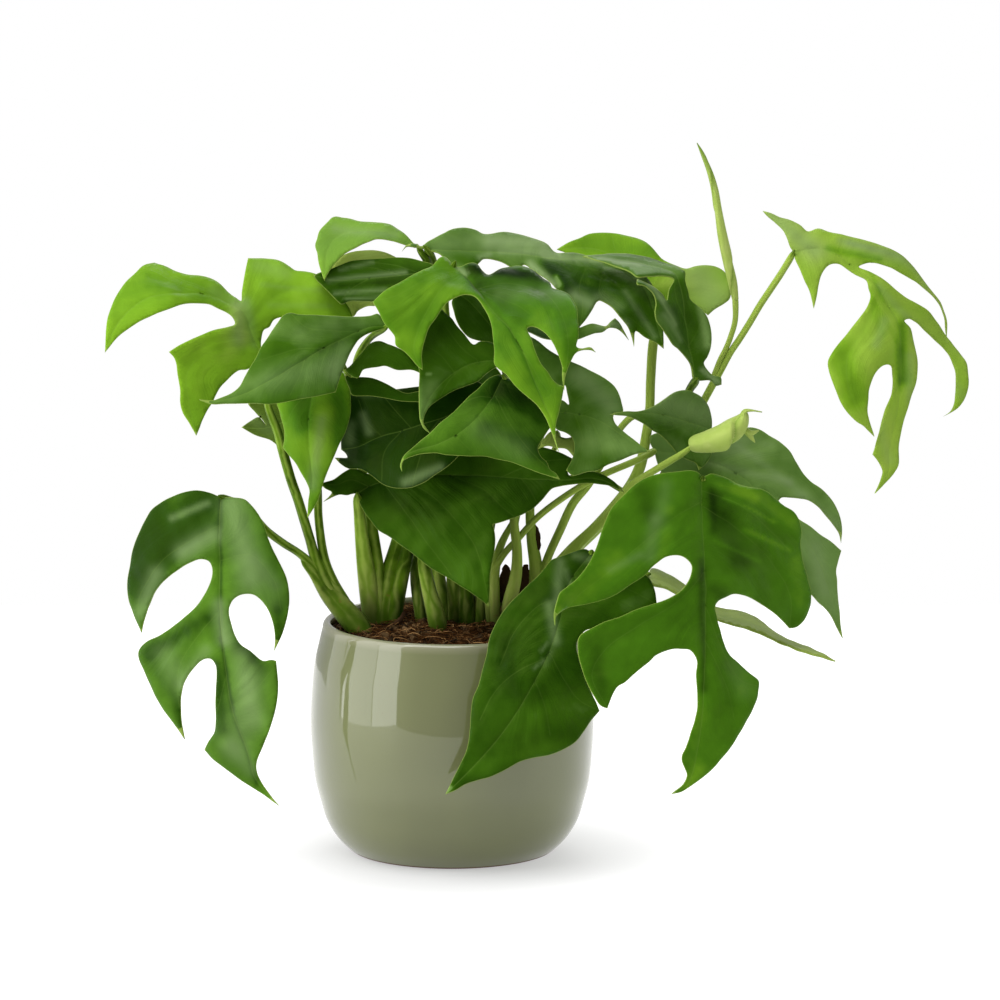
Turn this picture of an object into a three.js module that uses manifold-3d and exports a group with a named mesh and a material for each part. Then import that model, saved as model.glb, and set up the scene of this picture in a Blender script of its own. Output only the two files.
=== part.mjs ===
// A mini monstera, a small climbing aroid, growing in a glazed ceramic pot.
//
// Millimetres, +Z up. The origin is the centre of the pot's flat base and the front of the plant faces -Y.
//
// The leaves and stalks are set out on a front-view drawing sheet. A sheet point "u,v" runs right and down
// in sheet units, and its third value is its place along Y in millimetres, negative towards the front.
// A leaf has an outline, a rib and a few depth points, through which its blade bends smoothly.
// Each blade, each new leaf, each group of stalks, the soil and the pot is one closed solid.

import * as THREE from 'three';
import Module from 'manifold-3d';

// Driving dimensions of the pot and its soil. POT_ROUND gives the pot's side from its base to its rim,
// as shares of its greatest radius and of its height.
const POT_DIAMETER = 142.5;
const POT_HEIGHT = 116.5;
const POT_BASE_RADIUS = 50;
const POT_WALL = 4.5;
const POT_FLOOR = 6;
const POT_SIDES = 40;
const POT_ROUND = [
  [0.752, 0.013], [0.822, 0.061], [0.892, 0.136], [0.934, 0.218], [0.969, 0.305], [0.99, 0.432],
  [1, 0.563], [0.99, 0.694], [0.969, 0.822], [0.937, 0.908], [0.912, 0.973],
];
const POT_SIDE_STEPS = 10;
const POT_RIM_DROP = 0.9;
const POT_FLOOR_EDGE = 48;
const SOIL_EDGE_HEIGHT = 112.5;
const SOIL_MOUND = 5.5;

// Driving dimensions of the plant.
const BLADE_THICKNESS = 0.7;
const BLADE_KEEL = 1.4;
const STALK_SIDES = 6;
const ROLL_SIDES = 12;
const TOUCHING_GAP = 0.3;
const SPEAR_WIDTH = 6;
const ROLLED_LEAF_WIDTH = 15;

// The drawing sheet: one unit is half a millimetre at the pot's axis, seen from a little above and far off.
const SHEET_UNIT = 0.5;
const SHEET_MIDDLE = 500;
const SHEET_TARGET = { x: 24, z: 177.5 };
const SHEET_DISTANCE = 4000;
const SHEET_TILT = THREE.MathUtils.degToRad(10.5);

const FINISH = {
  glaze: { color: 0x86886a, roughness: 0.22, metalness: 0 },
  soil: { color: 0x3a241a, roughness: 0.95, metalness: 0 },
  stalk: { color: 0x76943e, roughness: 0.5, metalness: 0 },
  bright: { color: 0x6c9f2c, roughness: 0.42, metalness: 0 },
  mid: { color: 0x4b8228, roughness: 0.42, metalness: 0 },
  dark: { color: 0x2f5a1c, roughness: 0.38, metalness: 0 },
  olive: { color: 0x82964b, roughness: 0.55, metalness: 0 },
  young: { color: 0xb4c873, roughness: 0.5, metalness: 0 },
};

// The blades. "finish" names the leaf green: new leaves are bright, and old ones are dark.
const LEAVES = [
  {
    name: 'leaf_low_left',
    finish: 'mid',
    outline: `219,496 208,492 195,490 180,493 165,500 152,509 143,523 135,540 130,556 126,588 132,613
      140,633 154,592 163,581 188,563 200,559 207,561 210,569 209,580 197,604 172,626 146,642
      138,652 151,688 165,714 183,740 180,724 179,704 182,688 194,667 202,660 209,660 214,666
      214,720 213,732 203,750 213,760 238,779 279,807 262,786 256,774 255,764 271,724 277,700
      278,685 276,661 263,661 241,645 235,636 228,612 231,602 238,596 246,594 254,595 261,600
      267,608 274,628 274,652 283,632 289,605 287,580 272,548 264,525 251,505 244,499`,
    rib: `219,496 218,530 218,600 221,641 225,676 231,709 239,731 247,755 253,777 264,792 279,807`,
    depth: `219,496,-22 140,633,-12 183,740,-28 203,750,-36 279,807,-55 289,600,-40 276,661,-42
      225,650,-42 218,560,-34`,
  },
  {
    name: 'leaf_upper_left',
    finish: 'bright',
    outline: `262,352 257,362 248,369 240,370 234,374 221,387 208,410 197,435 184,412 181,403 177,364
      174,357 169,352 188,341 215,330 236,324 234,318 228,312 210,303 200,302 185,303 155,313
      140,320 117,337 105,351 108,315 117,292 125,281 143,264 154,260 178,269 210,277 220,282
      243,299 244,280 248,258 275,259 295,269 316,273 326,279 347,303 351,310 357,332 340,330
      282,317 274,320 270,327 265,330`,
    rib: `262,352 254,335 249,320 243,310 232,302 218,295 200,291 170,292 140,300 118,322 105,351`,
    depth: `262,352,-10 105,351,-36 154,260,4 169,352,-30 197,435,-40 248,258,14 313,274,6 356,332,0
      232,302,-12 170,295,-22`,
  },
  {
    name: 'leaf_front_left',
    finish: 'dark',
    outline: `388,325 378,313 370,315 345,316 300,314 290,312 283,315 278,322 260,348 240,385 235,390
      213,399 199,398 212,403 270,404 336,392 350,354 360,338 367,333`,
    rib: `388,325 370,326 345,337 320,350 300,362 270,380 240,395 216,400 199,398`,
    depth: `388,325,-30 199,398,-50 248,369,-44 290,312,-36 336,392,-50 320,350,-46 270,380,-50
      360,318,-30`,
  },
  {
    name: 'leaf_hanging_left',
    finish: 'bright',
    outline: `318,368 300,374 285,386 277,403 283,430 282,448 295,463 309,490 307,517 318,500 325,478
      345,434 351,412 350,388 343,372 335,366`,
    rib: `318,368 312,395 308,420 309,450 312,480 307,517`,
    depth: `318,368,-16 307,517,-38 277,403,-18 282,448,-24 351,400,-20 330,466,-30 309,430,-32`,
  },
  {
    name: 'leaf_tucked_left',
    finish: 'olive',
    outline: `308,405 295,399 278,398 268,402 248,403 266,425 259,417 241,427 255,435 270,440 281,447
      290,442 300,430`,
    rib: `308,405 290,418 265,428 241,427`,
    depth: `308,405,-2 241,427,2 281,447,-4 258,408,4`,
  },
  {
    name: 'leaf_top_front',
    finish: 'bright',
    outline: `455,262 445,255 440,256 432,264 385,290 373,301 384,322 395,336 396,345 422,369 422,352
      425,339 429,327 441,309 450,300 459,296 465,294 476,296 485,307 491,322 494,363 515,385
      538,405 546,416 559,449 556,433 557,420 564,385 560,384 554,379 541,361 527,327 528,325
      532,324 538,326 552,341 563,366 565,389 569,367 576,353 582,350 592,350 596,352 591,347
      582,348 577,346 579,336 577,307 569,293 552,286 550,281 532,269 518,265 503,267 489,273
      477,263`,
    rib: `455,262 468,274 479,289 494,310 510,327 521,345 532,371 544,401 553,420 559,449`,
    depth: `455,262,-18 373,301,-45 422,369,-58 410,300,-42 479,289,-34 494,363,-70 559,449,-94
      579,326,-56 565,389,-74 596,352,-60 518,265,-12 562,289,-28 521,345,-64`,
  },
  {
    name: 'leaf_top_dark',
    finish: 'dark',
    outline: `424,246 407,246 402,251 407,244 414,242 421,244 450,229 463,226 476,229 484,233 507,232
      518,234 547,242 556,249 575,250 620,262 640,270 652,283 663,320 664,346 636,331 634,346
      629,328 625,322 611,305 603,300 600,299 597,301 580,326 592,323 606,326 615,318 620,323
      629,340 617,329 609,328 603,332 576,338 570,325 562,297 556,288 550,281 524,262 517,269
      500,259 484,257 472,269 462,271 450,263 440,252`,
    rib: `424,246 450,249 500,250 537,254 560,255 580,256 600,260 615,265 630,273 643,285 652,303
      658,325 664,346`,
    depth: `402,251,-2 424,246,0 463,226,12 530,237,14 588,254,10 556,288,-12 517,269,-2 578,326,-26
      615,318,-22 629,340,-20 664,346,-22 634,346,-22 611,305,-16 640,272,0 560,268,-2`,
  },
  {
    name: 'leaf_upper_right',
    finish: 'dark',
    outline: `697,379 711,380 716,385 722,384 721,377 710,372 705,363 711,348 711,326 708,316 692,299
      686,270 675,262 655,256 610,251 583,254 630,269 637,274 665,275 675,278 668,300 657,287
      638,276 638,282 646,284 655,293 658,303 658,320 674,345 690,360`,
    rib: `697,379 694,355 690,330 685,300 682,285 675,270 655,264 620,257 583,254`,
    depth: `697,379,-14 722,384,-12 686,270,-6 583,254,-4 640,262,-4 638,278,-30 658,312,-34
      668,300,-22 708,316,-6 690,330,-12 674,345,-24`,
  },
  {
    name: 'leaf_top_left',
    finish: 'bright',
    outline: `417,245 402,231 391,224 336,216 332,217 319,231 315,245 324,279 331,267 342,255 370,240
      376,238`,
    rib: `417,245 405,239 385,231 360,229 340,233 328,248 324,279`,
    depth: `417,245,6 324,279,-8 340,217,22 317,245,6 370,240,4 385,222,14`,
  },
  {
    name: 'leaf_olive_left',
    finish: 'olive',
    outline: `405,262 385,252 375,250 355,251 345,254 337,260 331,268 330,280 347,313 353,316 362,308
      374,306 390,300 402,285`,
    rib: `405,262 380,262 355,268 340,285 347,313`,
    depth: `405,262,12 331,268,20 353,316,10 374,306,8 365,250,24`,
  },
  {
    name: 'leaf_striped_left',
    finish: 'dark',
    outline: `438,270 432,264 410,258 396,257 350,261 314,275 317,280 342,304 350,301 385,300 400,295
      425,285`,
    rib: `438,270 400,275 360,279 335,280 314,275`,
    depth: `438,270,-5 314,275,-4 342,304,-6 365,259,6 400,280,0`,
  },
  {
    name: 'leaf_back_top',
    finish: 'bright',
    outline: `663,312 648,302 630,280 557,248 590,233 612,232 637,237 645,241 662,258 686,268 705,265
      715,266 722,269 727,274 730,281 730,298 708,315 700,309 690,307 678,311`,
    rib: `663,312 655,294 640,272 615,255 590,247 557,248`,
    depth: `663,312,8 557,248,30 612,232,36 715,266,24 730,290,16 708,315,8 650,270,18`,
  },
  {
    name: 'leaf_far_right',
    finish: 'bright',
    outline: `794,251 783,229 763,209 790,219 808,230 818,227 870,241 898,252 918,270 942,303 947,315
      949,337 943,309 937,300 920,282 890,266 878,262 868,261 860,264 873,271 928,309 967,362
      969,387 966,398 960,407 945,416 952,411 956,403 956,370 951,357 945,348 917,321 912,318
      906,320 911,327 918,350 918,378 905,425 900,465 896,473 877,493 885,471 883,465 875,454
      886,409 894,393 895,385 894,366 890,364 884,365 874,376 870,388 868,410 876,436 857,421
      843,405 832,380 828,361 838,343 868,305 871,295 867,279 840,262 834,262 828,265 822,273
      814,307 810,290 795,257`,
    rib: `794,251 815,247 835,251 849,261 859,268 872,278 882,290 890,303 898,318 903,345 904,380
      897,420 892,450 890,472 884,485 877,493`,
    depth: `794,251,0 763,209,14 814,307,-14 850,262,-2 880,438,-42 877,493,-50 903,345,-18
      945,416,-16 969,380,-4 949,337,8 920,280,4 838,343,-24`,
  },
  {
    name: 'leaf_low_right',
    finish: 'bright',
    outline: `703,477 702,474 697,471 690,470 650,476 631,488 616,503 606,520 590,562 576,580 560,593
      555,612 557,626 558,616 562,612 570,608 600,601 615,595 645,575 652,567 665,557 674,555
      682,556 688,560 692,566 691,575 688,582 682,590 675,595 605,622 585,633 580,638 578,650
      584,675 595,697 601,705 608,708 613,694 618,686 625,682 655,656 673,649 690,650 695,655
      698,662 698,705 692,732 683,756 683,762 688,776 684,785 673,795 682,793 700,781 712,771
      723,758 745,725 758,697 761,686 760,680 732,655 726,643 717,607 720,601 734,594 752,598
      772,611 792,628 798,627 804,622 809,614 812,603 812,592 804,560 802,530 798,518 793,511
      770,493 762,489 740,484 722,475 712,473`,
    rib: `703,477 704,520 706,560 708,600 707,640 705,680 703,715 699,750 693,776 687,787 673,795`,
    depth: `703,477,-62 606,520,-80 557,626,-106 578,650,-98 608,708,-108 673,795,-102 761,686,-84
      792,628,-56 812,592,-50 770,493,-46 707,600,-86 692,566,-84`,
  },
  {
    name: 'leaf_over_pot',
    finish: 'dark',
    outline: `592,551 585,548 575,550 551,560 510,603 497,620 488,642 478,685 473,697 466,750 445,794
      465,784 490,777 520,762 550,755 562,750 575,742 601,711 587,682 580,660 577,645 580,636
      586,630 630,618 657,604 655,590 650,578 625,560 608,553`,
    rib: `592,551 570,580 560,620 548,655 530,690 508,725 482,757 445,794`,
    depth: `592,551,-48 551,560,-50 497,620,-66 471,708,-80 445,794,-90 601,711,-78 577,645,-74
      657,604,-62 530,690,-88`,
  },
  {
    name: 'leaf_behind_right',
    finish: 'dark',
    outline: `655,450 651,443 650,436 656,433 672,432 690,436 715,436 750,427 760,429 780,441 790,450
      805,474 832,498 838,508 842,520 842,542 840,533 835,525 820,507 810,500 790,497 782,497
      779,500 800,519 832,541 842,550 837,570 844,637 833,617 813,595 790,575 760,555 730,530
      700,510 675,490 662,472`,
    rib: `655,450 700,458 740,475 770,503 800,530 820,560 832,595 844,637`,
    depth: `655,450,-8 702,458,-4 760,429,0 843,530,-12 844,637,-40 779,498,-14 800,590,-34
      700,490,-10`,
  },
  {
    name: 'leaf_edge_on',
    finish: 'olive',
    outline: `650,574 653,566 670,572 718,604 750,611 780,631 837,657 810,650 718,616 670,588 652,581`,
    rib: `650,574 670,580 690,592 718,610 750,619 780,634 810,647 837,657`,
    depth: `650,574,-34 718,604,-20 718,616,-46 837,657,-50 780,634,-38`,
  },
  {
    name: 'leaf_mid_right',
    finish: 'dark',
    outline: `713,430 712,455 700,470 697,463 680,455 668,441 645,424 628,416 611,414 628,411 640,411
      650,408 678,391 688,390 702,397 708,404 713,421`,
    rib: `713,430 690,422 665,415 640,413 611,414`,
    depth: `713,430,-13 611,414,-54 650,412,-40 688,390,-16 700,470,-26 668,441,-34`,
  },
  {
    name: 'leaf_centre_right',
    finish: 'dark',
    outline: `548,411 553,401 563,400 569,404 567,392 565,385 560,390 548,386 537,371 530,352 526,334
      560,356 600,375 614,385 619,393 623,411 614,412 615,421 649,450 636,453 606,465 598,470
      573,475 566,470 574,452 574,442 571,436 557,429 550,420`,
    rib: `548,411 575,413 600,420 622,434 649,450`,
    depth: `528,338,-28 571,361,-38 622,402,-42 649,450,-56 566,470,-60 552,411,-48`,
  },
  {
    name: 'leaf_centre',
    finish: 'mid',
    outline: `503,375 500,373 492,375 485,380 455,410 404,454 400,466 402,471 402,463 404,459 420,453
      437,452 455,455 485,456 510,461 560,479 556,473 550,469 547,462 541,456 538,448 552,423
      547,408 521,381`,
    rib: `503,375 490,400 467,427 438,443 420,448 404,454`,
    depth: `503,375,-46 402,471,-74 440,422,-62 500,458,-70 560,479,-76 549,424,-62 478,420,-64`,
  },
  {
    name: 'leaf_centre_arch',
    finish: 'dark',
    outline: `503,360 498,366 478,381 455,390 430,407 425,416 424,423 430,433 424,428 421,420 420,372
      417,360 418,345 424,330 441,309 452,318 474,344 480,341 492,342 500,348`,
    rib: `503,360 475,362 450,376 432,396 421,420`,
    depth: `503,360,-36 433,318,-30 430,433,-58 418,360,-46 455,390,-44 492,342,-30`,
  },
  {
    name: 'leaf_centre_back',
    finish: 'dark',
    outline: `503,340 500,345 477,340 469,337 462,330 457,321 452,301 458,293 470,288 485,290 497,305
      502,322`,
    rib: `503,340 485,318 470,302 458,293`,
    depth: `503,340,-24 453,300,-20 485,290,-14`,
  },
  {
    name: 'leaf_centre_left',
    finish: 'dark',
    outline: `480,400 474,430 464,448 447,466 425,482 412,487 390,487 380,483 360,469 347,468 333,457
      346,457 339,449 345,396 352,393 450,384 475,380 484,386`,
    rib: `480,400 450,414 420,424 397,431 380,436 357,447 339,449`,
    depth: `352,395,-14 339,449,-12 333,457,-12 400,488,-40 447,466,-42 484,386,-20 474,430,-32
      420,424,-30`,
  },
  {
    name: 'leaf_ribbon',
    finish: 'dark',
    outline: `434,380 428,371 415,363 405,352 380,341 373,342 368,345 350,366 344,370 350,375 358,378
      363,370 385,366 397,370 412,370 421,374 428,382`,
    depth: `344,370,-31 380,341,-26 415,363,-30 434,380,-33 385,366,-29`,
  },
  {
    name: 'leaf_layer',
    finish: 'dark',
    outline: `440,397 436,391 406,393 372,378 350,377 345,373 345,378 352,395 420,402 435,402`,
    depth: `345,373,-26 436,391,-31 352,395,-29 385,383,-27`,
  },
  {
    name: 'leaf_centre_low',
    finish: 'dark',
    outline: `357,493 340,495 324,502 333,493 321,484 335,480 352,469 360,470 368,474 378,472 400,462
      430,452 470,444 505,443 538,446 560,452 572,458 567,470 570,476 590,471 600,473 615,482
      624,492 608,485 590,483 560,486 552,488 533,508 525,513 492,524 495,540 488,607 470,592
      430,568 378,530 363,510`,
    rib: `357,493 372,484 400,478 430,474 465,473 500,475 535,478 565,480 590,478 606,481 624,492`,
    depth: `357,493,-12 321,484,-20 324,502,-18 430,478,-24 488,607,-50 492,524,-42 543,498,-38
      624,492,-44 572,458,-34 430,568,-34 363,510,-16 480,445,-16 368,474,-10`,
  },
  {
    name: 'leaf_tucked_centre',
    finish: 'olive',
    outline: `557,431 550,432 538,449 548,446 566,449 573,456 577,444 575,437 566,438 560,436`,
    depth: `557,431,-44 538,449,-46 573,456,-46`,
  },
  {
    name: 'leaf_back_left',
    finish: 'mid',
    outline: `339,338 326,326 308,321 292,322 272,350 262,372 262,390 282,388 300,378 316,372 326,392
      336,380 342,362 344,348`,
    rib: `339,338 320,345 298,360 262,390`,
    depth: `339,338,20 262,390,74 308,321,52 326,392,46 300,350,56`,
  },
  {
    name: 'leaf_back_centre',
    finish: 'mid',
    outline: `470,360 486,362 500,374 509,396 508,418 496,432 480,438 500,446 520,460 530,482 527,508
      510,494 492,486 478,492 476,520 466,545 452,560 444,535 440,508 430,494 414,498 398,516
      396,492 404,472 420,458 438,452 446,440 430,436 414,440 402,450 402,432 410,416 424,402
      446,370 458,362`,
    rib: `470,360 466,400 462,440 460,480 456,520 452,560`,
    depth: `470,360,52 452,560,108 527,508,88 398,516,84 509,396,60 402,450,66 462,460,92`,
  },
  {
    name: 'leaf_back_right',
    finish: 'mid',
    outline: `640,505 650,496 676,492 705,494 735,503 760,516 778,532 792,560 772,560 752,548 735,545
      744,565 748,588 728,578 712,560 700,551 660,531 648,520`,
    rib: `640,505 680,512 720,522 760,538 792,560`,
    depth: `640,505,26 792,560,96 748,588,84 676,492,54 680,541,40 735,520,84`,
  },
  {
    name: 'leaf_back_upper',
    finish: 'mid',
    outline: `506,320 497,306 494,290 506,279 526,275 542,282 556,292 568,304 574,320 577,336 560,340
      545,338 515,326`,
    rib: `506,320 525,308 550,310 577,336`,
    depth: `506,320,34 577,336,88 526,275,70 545,338,60`,
  },
  {
    name: 'leaf_back_mid_right',
    finish: 'mid',
    outline: `598,388 584,383 575,394 573,412 577,432 572,450 576,468 592,456 602,440 606,450 612,458
      618,444 612,425 614,408 609,395`,
    rib: `598,388 594,410 590,435 576,468`,
    depth: `598,388,30 576,468,82 612,458,72 575,394,48`,
  },
  {
    name: 'leaf_back_low',
    finish: 'mid',
    outline: `415,650 398,653 375,665 358,685 352,710 358,741 370,724 382,716 390,727 388,752 392,780
      410,764 424,744 430,724 444,727 458,744 463,719 458,690 446,668 430,653`,
    rib: `415,650 412,684 408,717 392,780`,
    depth: `415,650,88 358,734,86 392,780,102 458,734,92 412,692,98`,
  },
  {
    name: 'leaf_back_low_right',
    finish: 'mid',
    outline: `520,655 505,661 492,676 486,696 484,717 488,736 510,711 520,717 524,738 526,763 532,780
      545,763 554,742 556,721 566,724 580,736 582,713 576,691 562,671 542,657`,
    rib: `520,655 526,684 532,717 532,780`,
    depth: `520,655,88 488,736,90 532,780,106 580,736,76 526,701,100`,
  },
];

// The newest leaves, not yet open: "u,v,y,width" points along each roll.
const NEW_LEAVES = [
  {
    name: 'new_leaf_spear',
    width: SPEAR_WIDTH,
    flatness: 0.8,
    route: `735,297,4,7 732,280,4,9 727,260,4,11 722,235,4,12 718,210,4,10 715,190,4,8 710,172,4,7
      702,153,4,4 697,143,4,1`,
  },
  {
    name: 'new_leaf_rolled',
    width: ROLLED_LEAF_WIDTH,
    flatness: 0.75,
    route: `690,447,-38,8 695,444,-39,20 703,442,-40,26 713,440,-40,30 725,437,-41,28 735,430,-42,26
      745,422,-43,17 752,416,-44,8 760,412,-45,2`,
  },
];

// The stalks of each shoot, rising from its crown in the soil: "u,v,y,width" points along each stalk.
const SHOOTS = {
  shoot_left: {
    creeping_base: `302,556,-10,9 314,571,-9,13 330,594,-9,20 347,614,-12,24 360,630,-16,24 368,650,-19,18`,
    low_left: `219,496,-22,5 228,499,-16,6 244,506,-12,8 266,530,-11,8 283,543,-11,8 300,554,-11,8
      325,578,-9,12 342,600,-9,14 354,624,-14,14`,
    upper_left: `262,352,-10,5 266,380,-13,6 268,406,-14,8 277,430,-14,9 283,452,-14,10 291,480,-13,10
      298,500,-12,10 304,520,-11,10 310,540,-11,10 316,560,-10,11 335,598,-9,14`,
    hanging_left: `318,368,-16,4 317,378,-12,6 314,430,-8,8 318,490,-9,9 319,520,-9,9 325,560,-8,10
      333,582,-8,12 345,604,-8,14`,
    tucked_stub: '314,432,-8,7 312,416,-5,5 308,405,-2,4',
  },
  shoot_mid_left: {
    crown: '376,632,-1,22 389,632,-3,28 403,634,-3,22',
    centre_low: `357,493,-12,5 358,501,-9,9 362,540,-7,14 366,570,-5,18 371,600,-2,22 378,650,1,22`,
    front_left: `388,325,-30,5 382,330,-25,6 370,338,-17,7 358,356,-10,7 354,380,-8,7 356,430,-5,8
      364,480,-3,9 372,530,-2,12 378,575,-2,15 382,610,-2,18 384,650,-2,18`,
    striped: `438,270,-5,5 438,280,0,6 436,305,5,7 432,345,9,8 428,400,11,8 420,450,11,9 409,500,7,12
      399,545,1,18 391,575,-1,21 386,610,-2,24 387,650,-2,22`,
    top_left: `417,245,6,5 421,252,4,6 427,262,3,7 430,290,1,7 429,330,2,8 430,380,4,8 428,430,5,9
      420,495,2,11 408,550,-3,14 401,580,-4,16 395,610,-4,18 393,650,-4,16`,
  },
  shoot_centre: {
    crown: '424,635,-5,20 435,636,-14,26 447,636,-10,27 476,638,-9,22',
    olive_left: `405,262,12,4 414,272,20,5 426,300,24,6 431,340,24,7 433,400,26,8 430,470,22,9
      420,530,12,10 415,575,2,10 420,612,-4,12 426,650,-4,12`,
    top_front: `455,262,-18,6 450,275,-13,8 445,300,-8,8 447,330,-5,9 451,380,-4,9 452,420,-5,9
      441,470,-7,10 428,520,-10,11 424,560,-15,13 429,590,-19,15 437,620,-22,19 440,650,-20,18`,
    top_dark: `424,246,0,5 431,255,5,7 437,275,11,7 441,300,16,8 445,340,20,8 447,400,22,9 447,470,19,9
      444,520,12,10 438,567,0,13 442,605,-4,17 446,650,-5,17`,
    ribbon: '434,380,-33,4 438,370,-27,5 445,362,-16,6 451,372,-5,7',
    layer: '440,397,-30,4 441,386,-28,5 445,374,-19,6 451,380,-5,7',
    centre_left: `480,400,-23,5 484,408,-15,6 482,440,-6,7 470,480,-3,8 458,530,-8,10 453,575,-11,13
      455,600,-11,15 456,650,-8,15`,
    centre_arch: `503,360,-36,5 505,372,-30,6 508,400,-19,7 503,440,-6,7 491,480,-3,8 472,540,-9,11
      466,585,-12,15 467,620,-12,18 466,650,-10,17`,
    centre_back: `503,340,-24,4 507,350,-14,5 513,375,-5,6 512,420,4,7 502,470,4,8 488,540,-4,10
      483,585,-9,14 479,615,-11,15 477,650,-10,14`,
  },
  shoot_right: {
    crown: '494,638,-10,18 512,640,-8,26 536,642,-4,26 552,644,-2,18',
    centre: `503,375,-46,5 508,384,-42,6 515,402,-28,7 520,440,-12,7 517,475,-12,8 514,520,-22,9
      517,550,-21,10 516,575,-19,12 509,607,-16,15 506,650,-10,16`,
    tucked_centre: `557,431,-44,4 558,436,-38,5 557,444,-22,5 546,464,-14,6 530,492,-12,6 513,522,-14,6
      501,545,-15,8 495,570,-17,10 495,610,-16,11 498,650,-12,11`,
    behind_right: `655,450,-8,5 651,453,-15,7 640,459,-22,7 605,474,-26,7 585,484,-26,7 560,500,-25,7
      537,518,-22,7 517,540,-20,7 505,553,-19,7 495,570,-18,7 489,592,-16,8 494,650,-12,10`,
    centre_right: `548,411,-48,5 546,419,-36,6 540,440,-15,7 533,480,-10,8 530,510,-11,9 532,540,-9,11
      536,570,-8,14 532,610,-6,17 524,650,-6,14`,
    mid_right: `713,430,-13,4 704,429,-9,5 690,425,-9,6 658,418,-22,6 636,415,-25,7 622,426,-24,7
      605,458,-23,7 588,485,-21,8 573,503,-17,9 560,530,-13,9 545,565,-9,9 535,610,-5,12
      532,650,-5,12`,
    back_top: `663,312,8,6 659,322,6,8 654,340,3,10 651,380,1,10 650,410,0,10 646,440,-1,11
      641,465,-1,12 632,485,-1,13 615,508,0,14 595,530,0,14 572,552,0,15 548,582,-1,16
      538,612,-2,18 536,650,-2,18`,
    upper_right: `697,379,-14,7 694,383,-9,8 688,393,-5,8 683,415,-1,8 677,442,2,8 664,474,4,8 645,498,3,9
      615,520,2,10`,
    far_right: `794,251,0,5 791,257,2,6 780,275,3,7 770,290,4,7 760,305,4,7 750,322,4,7 740,338,4,7
      730,353,4,7 722,368,4,7 715,380,4,8 703,402,3,8 691,425,4,8 680,448,6,8 664,478,7,8
      640,508,5,9 605,530,2,10`,
    spear: `735,293,4,6 735,320,4,6 731,335,4,6 726,348,4,6 720,360,4,6 715,374,4,7`,
    rolled: `692,446,-38,5 686,451,-37,5 680,455,-36,6 670,461,-34,7 660,467,-32,7 650,473,-29,7
      640,479,-25,7 632,484,-21,8 605,518,-8,10 575,548,-4,12 550,585,-1,14`,
    low_right: `703,477,-62,6 702,484,-56,8 690,500,-42,9 650,530,-25,10 605,558,-11,12 570,585,-5,14
      545,620,-3,16`,
    over_pot: `592,551,-48,6 590,556,-42,8 578,572,-28,9 560,592,-14,11 545,615,-6,13 535,650,-5,14`,
    edge_on: '650,574,-34,5 640,574,-28,7 615,576,-20,8 585,585,-12,9 560,600,-6,10',
  },
  shoot_back: {
    crown: '438,624,28,18 450,622,32,28 466,622,32,28 480,624,28,18',
    back_centre: `470,360,52,4 470,368,53,5 468,400,50,7 466,480,44,8 464,560,36,9 462,625,30,12`,
    back_left: `339,338,20,4 339,350,25,5 344,368,29,6 356,384,31,7 372,392,32,7 400,440,34,8
      424,500,34,8 436,560,32,9 446,622,28,11`,
    back_right: `640,505,26,4 632,498,27,5 616,487,28,6 600,479,29,7 560,480,29,7 528,492,28,7
      516,520,27,8 515,575,28,8 500,602,29,9 472,622,28,11`,
    back_upper: `506,320,34,4 508,332,38,5 515,360,41,6 514,400,42,7 500,470,42,8 480,560,38,8
      468,620,32,10`,
    back_mid_right: `598,388,30,4 601,398,33,5 603,415,35,6 600,445,34,6 588,472,31,6 570,480,30,6`,
    back_low: `415,650,88,4 416,638,88,5 418,612,83,6 422,592,74,7 428,586,62,8 434,596,48,8
      442,618,34,10`,
    back_low_right: `520,655,88,4 520,640,88,5 518,612,83,6 515,592,74,7 510,586,60,8 500,598,46,8
      476,620,32,10`,
  },
};

const wasm = await Module();
wasm.setup();

// ---- The drawing sheet ----

// The point of the plane Y = y that is drawn at (u, v).
function spot(u, v, y) {
  const cos = Math.cos(SHEET_TILT);
  const sin = Math.sin(SHEET_TILT);
  const right = (u - SHEET_MIDDLE) * SHEET_UNIT;
  const up = (SHEET_MIDDLE - v) * SHEET_UNIT;
  const rise = (up * (1 + (y * cos) / SHEET_DISTANCE) - y * sin) / (cos + (up * sin) / SHEET_DISTANCE);
  const depth = y * cos - rise * sin;
  return new THREE.Vector3(
    SHEET_TARGET.x + right * (1 + depth / SHEET_DISTANCE),
    y,
    SHEET_TARGET.z + rise,
  );
}

// "1,2 3,4" becomes [[1, 2], [3, 4]].
function listed(text) {
  return text.trim().split(/\s+/).map((word) => word.split(',').map(Number));
}

// Solves a small set of linear equations, each row ending with its right-hand side.
function solved(rows) {
  const n = rows.length;
  for (let i = 0; i < n; i++) {
    const pivot = rows.slice(i).reduce((best, row) => (Math.abs(row[i]) > Math.abs(best[i]) ? row : best));
    const at = rows.indexOf(pivot);
    [rows[i], rows[at]] = [rows[at], rows[i]];
    for (let r = 0; r < n; r++) {
      if (r === i) continue;
      const share = rows[r][i] / rows[i][i];
      for (let c = i; c <= n; c++) rows[r][c] -= share * rows[i][c];
    }
  }
  return rows.map((row, i) => row[n] / row[i]);
}

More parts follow.
